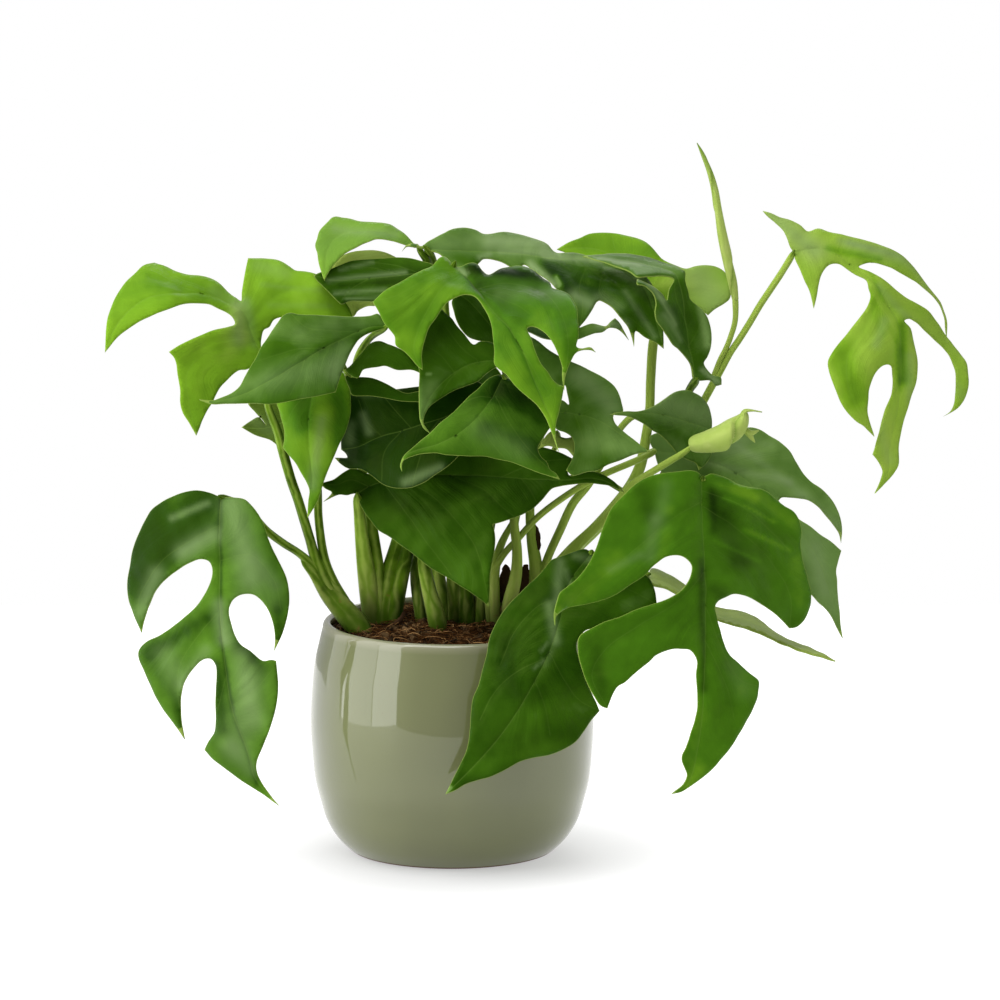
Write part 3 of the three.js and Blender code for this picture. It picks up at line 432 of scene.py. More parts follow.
# %% Making a piece
def piece(name, points, faces, finish, slot, replaces=None, numbers=None, flat=None):
    """A mesh object from points in millimetres and arrays of faces with three or four corners.

    flat is the number of faces at the end of the list that keep sharp edges."""
    mesh = bpy.data.meshes.new(name)
    corners = np.concatenate([part.ravel() for part in faces])
    sizes = np.concatenate([np.full(len(part), part.shape[1]) for part in faces])
    mesh.vertices.add(len(points))
    mesh.vertices.foreach_set("co", (np.asarray(points) * MM).astype(np.float32).ravel())
    mesh.loops.add(len(corners))
    mesh.loops.foreach_set("vertex_index", corners.astype(np.int32))
    mesh.polygons.add(len(sizes))
    mesh.polygons.foreach_set("loop_start", (np.cumsum(sizes) - sizes).astype(np.int32))
    smooth = np.ones(len(sizes), bool)
    if flat:
        smooth[-flat:] = False
    mesh.update(calc_edges=True)
    mesh.polygons.foreach_set("use_smooth", smooth)
    for key, values in (numbers or {}).items():
        store = mesh.attributes.new(key, "FLOAT", "POINT")
        spread = np.broadcast_to(values, len(points)).astype(np.float32)
        store.data.foreach_set("value", spread)
    mesh.materials.append(finish)
    made = placed(name, mesh)
    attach(made, "root")
    if replaces:
        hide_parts(replaces)
    return made


def waves(places, length, seed, count=7):
    """Gentle seeded unevenness: sine waves of one length in random directions, added up.

    It runs from about -1 to 1, as the sum is divided by the root of their number."""
    draw = np.random.default_rng(seed)
    ways = draw.normal(size=(count, places.shape[1]))
    ways /= np.linalg.norm(ways, axis=1)[:, None]
    turns = places @ (ways * draw.uniform(0.75, 1.3, (count, 1))).T * (2 * pi / length)
    return np.sin(turns + draw.uniform(0, 2 * pi, count)).sum(1) / count**0.5


# %% [markdown]
# ## Blades
#
# A blade is one thin sheet, so it is drawn once and given two faces. Its edge, rib and veins come
# from the sheet; between them lies an even lattice of points, and a Delaunay triangulation joins
# them without crossing a vein. Depth comes from a thin plate bent through a few control points,
# which is the shape that a real leathery blade takes between the places that hold it. A
# subdivided flat plane would be simpler, but it can't follow such deep cuts.
#
# The drawings come first, from the left of the plant to its back. A heading gives the leaf, its
# finish and its tone, from dark to light; the tone is set leaf by leaf and holds painted light and
# shade along with the leaf's own green. The outline has a star at each sharp point. A depth point
# has a sheet place and a depth. Strokes paint light and shade on a leaf, shade along its rib among
# them, and a few paler tips; painted sheen greys a leaf where highlights fall. Each has two ends, a
# width and a strength.

# %% Leaf drawings at the left
LEAVES = read_drawings("""
leaf_low_left mid 0.04
outline 219,496 208,492 195,490 180,493 165,500 152,509 143,523 135,540 130,556 126,588 132,613
*140,633 143,622 148,606 154,592 163,581 175,571 188,563 200,559 207,561 210,569 209,580 204,592
197,604 186,615 172,626 158,636 146,642 138,652 144,672 151,688 165,714 174,727 *183,740 180,724
179,704 182,688 187,677 194,667 202,660 209,660 214,666 215,678 214,700 214,720 213,732 208,740
*203,750 213,760 238,779 262,795 *279,807 270,797 262,786 256,774 255,764 262,746 271,724 277,700
278,685 *276,661 271,660 263,661 250,651 241,645 235,636 231,625 228,612 231,602 238,596 246,594
254,595 261,600 267,608 271,617 274,628 275,640 *274,652 283,632 289,605 287,580 277,558 272,548
268,538 264,525 258,514 251,505 244,499 232,497
rib 219,496 218,530 218,600 221,641 225,676 231,709 239,731 247,755 253,777 264,792 279,807
veins 217,525 190,540 165,557 148,580 138,600 140,633 / 217,612 198,635 182,660 177,685 178,710
183,740 / 219,560 250,555 274,580 281,610 / 233,705 255,690 272,670 / 225,676 219,700 209,738
depth 219,496,-22 140,633,-12 183,740,-28 203,750,-36 279,807,-55 289,600,-40 276,661,-42
225,650,-42 218,560,-34
strokes 200,505,140,575,22,-0.98 155,508,134,545,14,-0.8 135,560,133,600,9,-0.1
180,516,206,502,4,0.44 266,540,285,600,7,-0.15 278,610,276,640,7,-0.52 205,618,150,652,9,-0.59
150,660,175,700,8,-0.26 178,712,183,738,7,-0.52 207,648,180,690,7,0.28 240,645,262,668,7,-0.59
240,660,255,720,10,0.33 270,668,268,730,8,0.33 214,665,222,730,7,-0.59 212,745,255,780,8,-0.2
219,500,220,640,2.2,-0.65 220,640,232,710,2.2,-0.65 232,710,256,785,2,-0.39
bloom 232,505,250,575,14,0.5 212,535,182,552,9,0.5 156,574,140,612,8,0.4 240,600,228,640,8,0.25
240,655,256,720,11,0.38 218,605,222,640,7,0.5 255,560,275,585,8,0.2 230,745,250,770,8,0.25
205,650,182,685,6,0.35 165,655,185,690,12,0.25 250,680,236,745,16,0.3 255,590,270,600,14,0.15
172,518,206,503,3.5,0.4

leaf_upper_left bright 0.37
outline 262,352 257,362 248,369 240,370 234,374 228,380 221,387 216,395 213,402 208,410 203,420
200,428 *197,435 190,422 184,412 181,403 180,390 178,375 177,364 174,357 *169,352 178,346 188,341
200,336 215,330 228,327 236,324 234,318 228,312 218,307 210,303 200,302 185,303 170,308 155,313
140,320 127,329 117,337 *105,351 106,328 108,315 112,302 117,292 125,281 135,271 143,264 *154,260
168,265 178,269 190,272 200,274 210,277 220,282 230,289 238,295 243,299 243,290 244,280 246,268
*248,258 265,258 275,259 283,262 290,266 295,269 305,270 316,273 326,279 333,287 340,295 347,303
351,310 354,319 *357,332 340,330 320,326 300,321 282,317 274,320 270,327 265,330 263,340
rib 262,352 254,335 249,320 243,310 232,302 218,295 200,291 170,292 140,300 118,322 105,351
veins 256,345 235,346 210,352 192,366 186,380 197,435 / 250,325 270,300 295,290 330,305 356,332 /
230,300 205,285 180,275 154,260 / 205,292 180,283 150,275
depth 262,352,-10 105,351,-36 154,260,4 169,352,-30 197,435,-40 248,258,14 313,274,6 356,332,0
232,302,-12 170,295,-22
strokes 120,290,200,286,16,-0.4 300,292,335,292,10,0.3 225,330,230,350,10,0.5 238,308,245,340,8,1.0
190,385,200,395,8,0.15 252,335,256,345,6,0.2 245,300,256,345,5,-0.2 260,330,275,345,6,-0.1
200,345,215,400,14,0.09 196,415,197,433,8,-0.12 215,300,190,295,5,-0.1 110,330,108,345,6,-0.1
205,386,203,400,4,-0.23 240,335,225,360,9,0.12
bloom 240,305,240,338,9,0.5 215,288,240,302,6,0.21 258,265,285,272,8,0.24 262,285,320,290,2.5,0.17
270,305,330,306,3,0.14 248,300,256,345,4,0.21

leaf_front_left dark 0.51
outline 388,325 383,318 378,313 370,315 345,316 320,315 300,314 290,312 283,315 278,322 272,331
266,340 260,348 256,356 252,362 248,369 244,377 240,385 235,390 228,394 220,397 213,399 *199,398
212,403 225,403 240,403 255,403 270,404 285,402 300,399 318,396 *336,392 338,385 341,376 344,369
347,361 350,354 355,345 360,338 367,333 375,330
rib 388,325 370,326 345,337 320,350 300,362 270,380 240,395 216,400 199,398
veins 360,330 330,330 305,326 290,312 / 325,347 298,348 275,355 252,362 / 340,340 335,362 332,380
336,392 / 305,358 300,375 290,395
depth 388,325,-30 199,398,-50 248,369,-44 290,312,-36 336,392,-50 320,350,-46 270,380,-50
360,318,-30
strokes 275,330,300,335,10,0.3 380,327,320,350,3,-0.5 320,350,285,372,4,-0.4 250,385,215,398,10,0.2
300,320,350,322,8,0.15
bloom 270,380,330,365,14,0.28 335,375,345,350,10,0.3 300,330,360,325,8,0.12

leaf_hanging_left bright 0.0
outline 318,368 300,374 285,386 277,403 279,410 281,420 283,430 283,440 *282,448 288,455 295,463
300,472 306,482 309,490 308,500 *307,517 312,510 318,500 322,487 325,478 330,466 335,455 340,444
345,434 349,422 351,412 351,400 350,388 347,380 343,372 335,366
rib 318,368 312,395 308,420 309,450 312,480 307,517
veins 313,390 296,405 286,425 282,448 / 308,418 328,425 338,437 335,455 / 312,385 330,390 343,405
347,420
depth 318,368,-16 307,517,-38 277,403,-18 282,448,-24 351,400,-20 330,466,-30 309,430,-32
strokes 338,385,342,440,8,-0.5 300,385,302,425,12,-0.9 324,415,316,460,9,0.8 310,490,312,508,7,-0.4
bloom 322,420,312,485,6,0.4

leaf_tucked_left olive -0.69
outline 308,405 295,399 278,398 268,402 248,403 255,412 262,420 266,425 259,417 250,421 *241,427
255,435 270,440 281,447 290,442 300,430
rib 308,405 290,418 265,428 241,427
depth 308,405,-2 241,427,2 281,447,-4 258,408,4
bloom 255,420,270,430,8,0.2
""")
print("leaves at the left:", ", ".join(LEAVES))

# %% Leaf drawings at the top
LEAVES |= read_drawings("""
leaf_top_front bright -0.3
outline 455,262 445,255 440,256 432,264 420,270 400,281 385,290 378,296 *373,301 378,310 384,322
390,329 395,336 396,345 404,351 411,358 417,365 *422,369 422,352 425,339 429,327 435,318 441,309
446,303 450,300 459,296 465,294 471,294 476,296 481,301 485,307 488,313 491,322 493,339 494,350
494,363 498,368 506,374 515,385 526,395 538,405 546,416 550,425 554,436 *559,449 557,442 556,433
557,420 559,413 561,404 563,395 564,385 560,384 554,379 549,371 541,361 535,348 531,336 527,327
528,325 532,324 538,326 546,333 552,341 556,348 560,357 563,366 563,375 *565,389 566,377 569,367
572,360 576,353 582,350 592,350 *596,352 591,347 582,348 577,346 579,336 579,326 578,315 577,307
574,301 569,293 562,289 552,286 550,281 544,277 532,269 518,265 503,267 489,273 483,269 477,263
470,262 462,263
rib 455,262 468,274 479,289 494,310 510,327 521,345 532,371 544,401 553,420 559,449
veins 460,266 440,272 415,285 395,296 373,301 / 462,270 445,285 430,305 418,330 414,350 422,369 /
478,285 510,283 540,290 560,310 568,340 565,389 / 480,288 510,300 530,312 / 515,335 530,360 548,390
depth 455,262,-18 373,301,-45 422,369,-58 410,300,-42 479,289,-34 494,363,-70 559,449,-94
579,326,-56 565,389,-74 596,352,-60 518,265,-12 562,289,-28 521,345,-64
strokes 478,280,560,296,11,-0.5 480,335,505,352,8,-0.2 470,266,550,277,7,-1.3
480,285,520,318,9,-0.42 535,290,560,330,9,-0.24 385,298,440,290,14,0.25 405,335,420,345,10,0.25
510,370,545,412,9,0.25 568,310,570,350,9,-0.3 465,272,510,327,1.6,-0.36 510,327,544,401,1.4,-0.18
550,415,557,440,5,0.3 430,275,450,268,6,0.2
bloom 448,255,466,270,2,0.9 500,292,560,295,7,0.2

leaf_top_dark dark 0.72
outline 424,246 420,246 412,246 407,246 *402,251 407,244 414,242 421,244 428,240 436,236 444,232
450,229 463,226 476,229 484,233 507,232 518,234 530,237 547,242 556,249 575,250 588,254 600,257
620,262 640,270 652,283 658,300 663,320 *664,346 655,340 645,336 636,331 *634,346 629,328 625,322
618,313 611,305 603,300 600,299 597,301 592,310 585,320 580,326 592,323 606,326 610,322 *615,318
620,323 624,330 *629,340 623,333 617,329 609,328 603,332 595,333 588,335 576,338 570,325 565,305
562,297 559,292 *556,288 550,281 541,274 532,267 524,262 *517,269 510,264 500,259 484,257 480,261
472,269 462,271 450,263 440,252 432,248
rib 424,246 450,249 500,250 537,254 560,255 580,256 600,260 615,265 630,273 643,285 652,303 658,325
664,346
veins 575,256 600,275 625,290 648,318 / 560,255 575,262 600,270 620,283 / 548,255 562,262 572,268 /
590,258 580,285 583,305 580,326 / 605,263 600,290 612,303 640,325 664,346
depth 402,251,-2 424,246,0 463,226,12 530,237,14 588,254,10 556,288,-12 517,269,-2 578,326,-26
615,318,-22 629,340,-20 664,346,-22 634,346,-22 611,305,-16 640,272,0 560,268,-2
strokes 545,262,568,290,6,-0.9 560,270,600,300,16,-0.8 600,280,650,330,18,-0.35
556,276,560,284,3,2.2 440,255,480,262,6,-0.3
bloom 440,245,475,238,10,0.25 490,240,545,243,8,0.94 500,250,560,252,2.5,0.5 480,256,490,252,3,0.62
545,252,600,258,4,0.88 530,262,553,284,4,1 575,295,592,305,7,0.62 600,296,620,306,6,0.3
605,265,640,280,3,0.5 625,290,655,335,3,0.44 600,325,625,325,5,0.75

leaf_upper_right dark 0.59
outline 697,379 711,380 716,385 *722,384 721,377 714,375 710,372 705,363 708,357 711,348 712,337
711,326 708,316 703,309 697,304 692,299 690,291 687,280 686,270 683,268 675,262 665,259 655,256
640,254 625,252 610,251 600,252 *583,254 595,258 615,264 630,269 637,274 650,275 665,275 675,278
670,290 668,300 664,294 657,287 648,281 *638,276 638,282 646,284 650,287 655,293 658,303 657,312
658,320 663,328 668,336 674,345 681,350 690,360 694,368
rib 697,379 694,355 690,330 685,300 682,285 675,270 655,264 620,257 583,254
veins 694,350 680,330 668,310 660,295 650,285 638,278 / 693,345 702,325 706,315 / 688,320 678,300
676,285
depth 697,379,-14 722,384,-12 686,270,-6 583,254,-4 640,262,-4 638,278,-30 658,312,-34 668,300,-22
708,316,-6 690,330,-12 674,345,-24
strokes 702,300,708,345,4,0.9 682,285,693,325,7,-0.5 658,290,670,312,7,-0.4 675,310,690,345,5,-0.5
600,256,660,262,4,-0.2 700,360,708,375,6,-0.2
bloom 600,255,680,265,3,0.3 656,285,676,325,2.2,0.5 665,315,682,340,3,0.4 650,285,665,300,2.5,0.4
704,370,720,384,3,0.8 564,253,640,263,1.6,0.6 592,294,620,292,2.5,0.5 620,292,648,312,1.8,0.3

leaf_top_left bright 0.14
outline 417,245 413,241 408,236 402,231 396,227 391,224 383,222 372,221 360,220 350,218 342,217
336,216 332,217 328,221 323,226 319,231 317,238 315,245 317,252 318,260 320,268 *324,279 327,273
331,267 337,260 342,255 348,251 355,247 362,243 370,240 376,238 392,240 402,243 410,245
rib 417,245 405,239 385,231 360,229 340,233 328,248 324,279
veins 390,232 375,236 365,241 / 360,229 345,225 333,218 / 345,232 330,237 318,248
depth 417,245,6 324,279,-8 340,217,22 317,245,6 370,240,4 385,222,14
strokes 322,235,328,265,7,-0.15 380,235,410,243,4,-0.3
bloom 335,228,395,234,5,0.3 320,240,400,240,50,0.22

leaf_olive_left olive 1.44
outline 405,262 396,257 385,252 375,250 365,250 355,251 345,254 337,260 331,268 330,280 337,295
342,304 347,313 353,316 357,311 362,308 368,306 *374,306 390,300 402,285
rib 405,262 380,262 355,268 340,285 347,313
depth 405,262,12 331,268,20 353,316,10 374,306,8 365,250,24
bloom 355,255,390,253,5,0.2

leaf_striped_left dark 0.1
outline 438,270 432,264 422,261 410,258 396,257 380,258 365,259 350,261 340,265 330,269 318,273
*314,275 317,280 322,285 329,292 338,301 342,304 350,301 360,301 374,301 385,300 400,295 425,285
rib 438,270 400,275 360,279 335,280 314,275
veins 400,275 375,268 350,266 / 370,278 350,290 340,303 / 420,273 395,265 370,262
depth 438,270,-5 314,275,-4 342,304,-6 365,259,6 400,280,0
strokes 380,280,430,272,9,-0.5 340,285,400,282,2.5,-0.4
bloom 328,280,405,272,2.2,0.5 335,293,385,290,2.2,0.45 340,270,372,262,2,0.35
345,299,385,297,1.6,0.4

leaf_back_top bright 0.46
outline 663,312 648,302 640,292 630,280 610,272 590,262 575,255 *557,248 570,241 580,237 590,233
612,232 625,234 637,237 645,241 652,247 657,253 662,258 675,264 686,268 695,266 705,265 715,266
722,269 727,274 730,281 730,298 725,303 715,309 *708,315 700,309 690,307 678,311
rib 663,312 655,294 640,272 615,255 590,247 557,248
veins 658,300 680,285 700,278 727,280 / 645,278 640,262 650,248 / 625,262 615,248 612,234 / 665,308
690,295 715,300
depth 663,312,8 557,248,30 612,232,36 715,266,24 730,290,16 708,315,8 650,270,18
strokes 700,285,720,300,25,1.0 655,285,690,278,8,0.8 585,243,650,252,14,-0.6
bloom 698,275,714,300,20,0.55
""")
print("leaves so far:", len(LEAVES))

# %% Leaf drawings at the right
LEAVES |= read_drawings("""
leaf_far_right bright 1.19
outline 794,251 790,245 787,237 783,229 775,221 768,215 *763,209 770,211 780,216 790,219 800,224
808,230 818,227 828,230 840,233 855,237 870,241 885,246 898,252 908,260 918,270 925,279 933,291
942,303 947,315 949,325 *949,337 947,325 946,318 943,309 937,300 928,290 920,282 910,276 900,271
890,266 878,262 868,261 860,264 873,271 885,279 897,288 908,296 918,302 928,309 938,321 947,333
955,344 961,352 967,362 969,375 969,387 966,398 960,407 953,412 *945,416 952,411 956,403 957,393
957,380 956,370 951,357 945,348 935,338 925,328 917,321 912,318 906,320 911,327 914,335 918,350
919,365 918,378 914,393 909,410 905,425 902,440 901,455 900,465 896,473 890,480 *877,493 880,485
883,478 885,471 883,465 879,459 *875,454 878,446 880,436 884,417 886,409 890,401 894,393 895,385
895,374 894,366 890,364 884,365 878,370 874,376 870,388 869,398 868,410 870,419 *876,436 868,429
865,426 857,421 850,414 843,405 837,393 832,380 829,370 828,361 832,352 838,343 845,335 853,325
862,314 868,305 871,295 869,288 867,279 857,273 848,267 840,262 834,262 828,265 822,273 819,283
817,295 *814,307 810,290 805,280 800,268 795,257
rib 794,251 815,247 835,251 849,261 859,268 872,278 882,290 890,303 898,318 903,345 904,380 897,420
892,450 890,472 884,485 877,493
veins 882,292 866,325 848,355 848,385 858,410 876,436 / 890,305 920,310 945,340 960,375 945,416 /
850,262 885,262 920,282 949,337 / 800,250 805,270 814,307 / 815,247 795,232 763,209 / 903,350
885,365 875,385 / 903,380 890,420 875,454
depth 794,251,0 763,209,14 814,307,-14 850,262,-2 880,438,-42 877,493,-50 903,345,-18 945,416,-16
969,380,-4 949,337,8 920,280,4 838,343,-24
strokes 772,214,812,248,12,0.9 828,247,880,258,3.5,-1.1 838,350,858,395,15,-1.1
868,262,884,300,2,-0.6 903,325,906,380,6,-1.5 888,415,890,465,8,0.35 868,295,884,335,4,-0.4
866,285,897,340,2,-0.5 897,340,903,390,2,-0.5 908,330,914,370,4,0.3 878,470,878,488,5,-0.25
872,260,900,264,3,-0.2
bloom 772,214,815,250,12,0.6 850,242,925,268,6,0.35 840,240,915,258,4,0.4 915,258,944,315,5,0.4
880,285,935,345,4,0.3 940,350,962,395,5,0.2 912,355,912,400,4,0.35 880,420,892,460,6,0.25
876,345,885,320,5,0.35

leaf_low_right bright -0.69
outline 703,477 702,474 697,471 690,470 680,471 662,473 650,476 640,481 631,488 624,495 616,503
610,511 606,520 602,530 599,540 596,549 590,562 584,571 576,580 566,588 560,593 557,602 555,612
*557,626 558,616 562,612 570,608 585,605 600,601 615,595 630,585 645,575 652,567 658,562 665,557
674,555 682,556 688,560 692,566 691,575 688,582 682,590 675,595 665,600 650,605 635,610 620,617
605,622 592,629 585,633 580,638 578,650 580,662 584,675 590,688 595,697 601,705 *608,708 610,702
613,694 618,686 625,682 633,675 640,669 650,661 655,656 663,652 673,649 682,649 690,650 695,655
698,662 697,675 698,690 698,705 696,718 692,732 687,748 683,756 683,762 686,770 688,776 684,785
*673,795 682,793 690,788 700,781 712,771 723,758 735,742 745,725 753,709 758,697 *761,686 760,680
750,671 740,662 732,655 726,643 722,630 719,618 717,607 720,601 727,597 734,594 743,595 752,598
762,604 772,611 782,619 *792,628 798,627 804,622 809,614 812,603 812,592 808,577 804,560 802,545
802,530 798,518 793,511 785,506 778,500 770,493 762,489 750,487 740,484 730,478 722,475 712,473
rib 703,477 704,520 706,560 708,600 707,640 705,680 703,715 699,750 693,776 687,787 673,795
veins 704,500 670,520 640,545 605,575 580,595 557,626 / 707,570 680,600 640,625 605,650 592,675
608,708 / 705,505 740,530 770,560 790,595 792,628 / 708,605 722,645 742,680 761,686 / 704,490
730,500 760,520 790,550 / 707,640 728,690 735,720
depth 703,477,-62 606,520,-80 557,626,-106 578,650,-98 608,708,-108 673,795,-102 761,686,-84
792,628,-56 812,592,-50 770,493,-46 707,600,-86 692,566,-84
strokes 668,512,662,565,9,0.35 640,490,650,515,9,-0.4 716,500,740,560,13,-0.5
740,560,760,580,10,-0.2 715,590,735,605,8,-0.39 716,484,755,499,5,0.4 725,497,775,522,2,0.49
715,540,760,562,2,0.35 745,530,790,550,3,0.42 713,488,715,530,5,-0.4 740,485,790,520,8,0.45
800,560,800,600,10,0.28 575,600,620,560,10,0.5 640,595,690,585,6,-0.2 600,640,690,620,12,-0.13
702,560,705,690,4,-0.55 745,680,735,720,10,0.28 700,700,695,760,9,0.2 688,785,700,770,6,0.49
595,650,603,690,8,-0.35 560,610,557,618,4,0.56
bloom 666,485,660,520,7,0.16 655,520,650,556,7,0.2 610,570,640,555,4,0.2 735,665,745,690,10,0.12

leaf_over_pot dark -0.11
outline 592,551 585,548 575,550 565,554 557,557 551,560 545,567 538,575 530,582 520,593 510,603
502,612 497,620 492,630 488,642 486,655 482,670 478,685 473,697 471,708 470,720 469,735 466,750
460,763 453,777 *445,794 455,790 465,784 478,780 490,777 505,770 520,762 535,758 550,755 562,750
575,742 585,730 592,721 *601,711 597,702 594,697 587,682 580,660 577,645 580,636 586,630 592,628
610,624 630,618 *657,604 655,590 650,578 640,570 625,560 608,553
rib 592,551 570,580 560,620 548,655 530,690 508,725 482,757 445,794
veins 565,595 540,605 515,630 500,665 / 548,655 520,670 495,690 480,720 / 550,650 565,680 580,700
601,711 / 572,575 600,580 630,590 657,604 / 535,680 545,705 550,735
depth 592,551,-48 551,560,-50 497,620,-66 471,708,-80 445,794,-90 601,711,-78 577,645,-74
657,604,-62 530,690,-88
strokes 505,640,515,690,10,-0.35 540,715,590,705,14,0.6 470,770,560,745,7,0.3 625,605,650,592,14,0.8
446,792,450,787,3,1.5
bloom 560,562,557,600,5,0.5 566,570,572,590,3,0.3 549,605,556,640,5,0.45 541,650,548,642,1.8,0.3
534,668,544,659,1.8,0.3 575,555,590,558,4,0.35 552,650,546,664,3,0.12

leaf_behind_right dark 1.11
outline 655,450 651,443 *650,436 656,433 672,432 690,436 715,436 740,430 750,427 760,429 770,435
780,441 790,450 797,462 805,474 812,481 822,488 832,498 838,508 842,520 843,530 *842,542 840,533
835,525 827,515 820,507 810,500 800,498 790,497 782,497 *779,500 784,506 792,511 800,519 810,526
820,534 832,541 *842,550 839,560 837,570 838,580 839,597 841,615 842,625 *844,637 838,627 833,617
825,607 818,601 813,595 790,575 760,555 730,530 700,510 675,490 662,472 658,462
rib 655,450 700,458 740,475 770,503 800,530 820,560 832,595 844,637
veins 700,458 735,450 765,440 / 735,472 775,470 805,482 842,530 / 762,495 785,535 813,590
depth 655,450,-8 702,458,-4 760,429,0 843,530,-12 844,637,-40 779,498,-14 800,590,-34 700,490,-10
strokes 780,455,820,490,10,-0.2 700,470,780,495,6,-0.2
bloom 690,458,790,482,4,0.5 730,440,805,495,4,0.35 700,447,760,455,5,0.3 715,432,770,445,5,0.25
816,548,824,590,8,0.3 800,500,836,525,8,0.5 812,540,832,605,14,0.3 710,450,740,445,8,0.3

leaf_edge_on olive 1.5
outline 650,574 653,566 670,572 690,585 718,604 750,611 780,631 810,645 *837,657 810,650 780,638
750,627 718,616 690,599 670,588 652,581
rib 650,574 670,580 690,592 718,610 750,619 780,634 810,647 837,657
depth 650,574,-34 718,604,-20 718,616,-46 837,657,-50 780,634,-38
strokes 655,568,690,586,3,-0.4 725,614,765,627,4,-0.4 722,608,755,612,3,0.2

leaf_mid_right dark 0.79
outline 713,430 713,440 712,455 706,464 *700,470 697,463 690,460 680,455 675,449 668,441 660,434
653,430 645,424 636,419 628,416 618,415 *611,414 620,412 628,411 640,411 650,408 658,404 665,399
672,394 678,391 688,390 695,393 702,397 708,404 711,412 713,421
rib 713,430 690,422 665,415 640,413 611,414
veins 700,426 692,440 700,470 / 690,422 675,410 680,395 / 670,417 655,410 / 690,423 668,430 655,430
depth 713,430,-13 611,414,-54 650,412,-40 688,390,-16 700,470,-26 668,441,-34
strokes 640,415,690,440,6,-0.3
bloom 660,400,705,415,12,0.4
""")
print("leaves so far:", len(LEAVES))

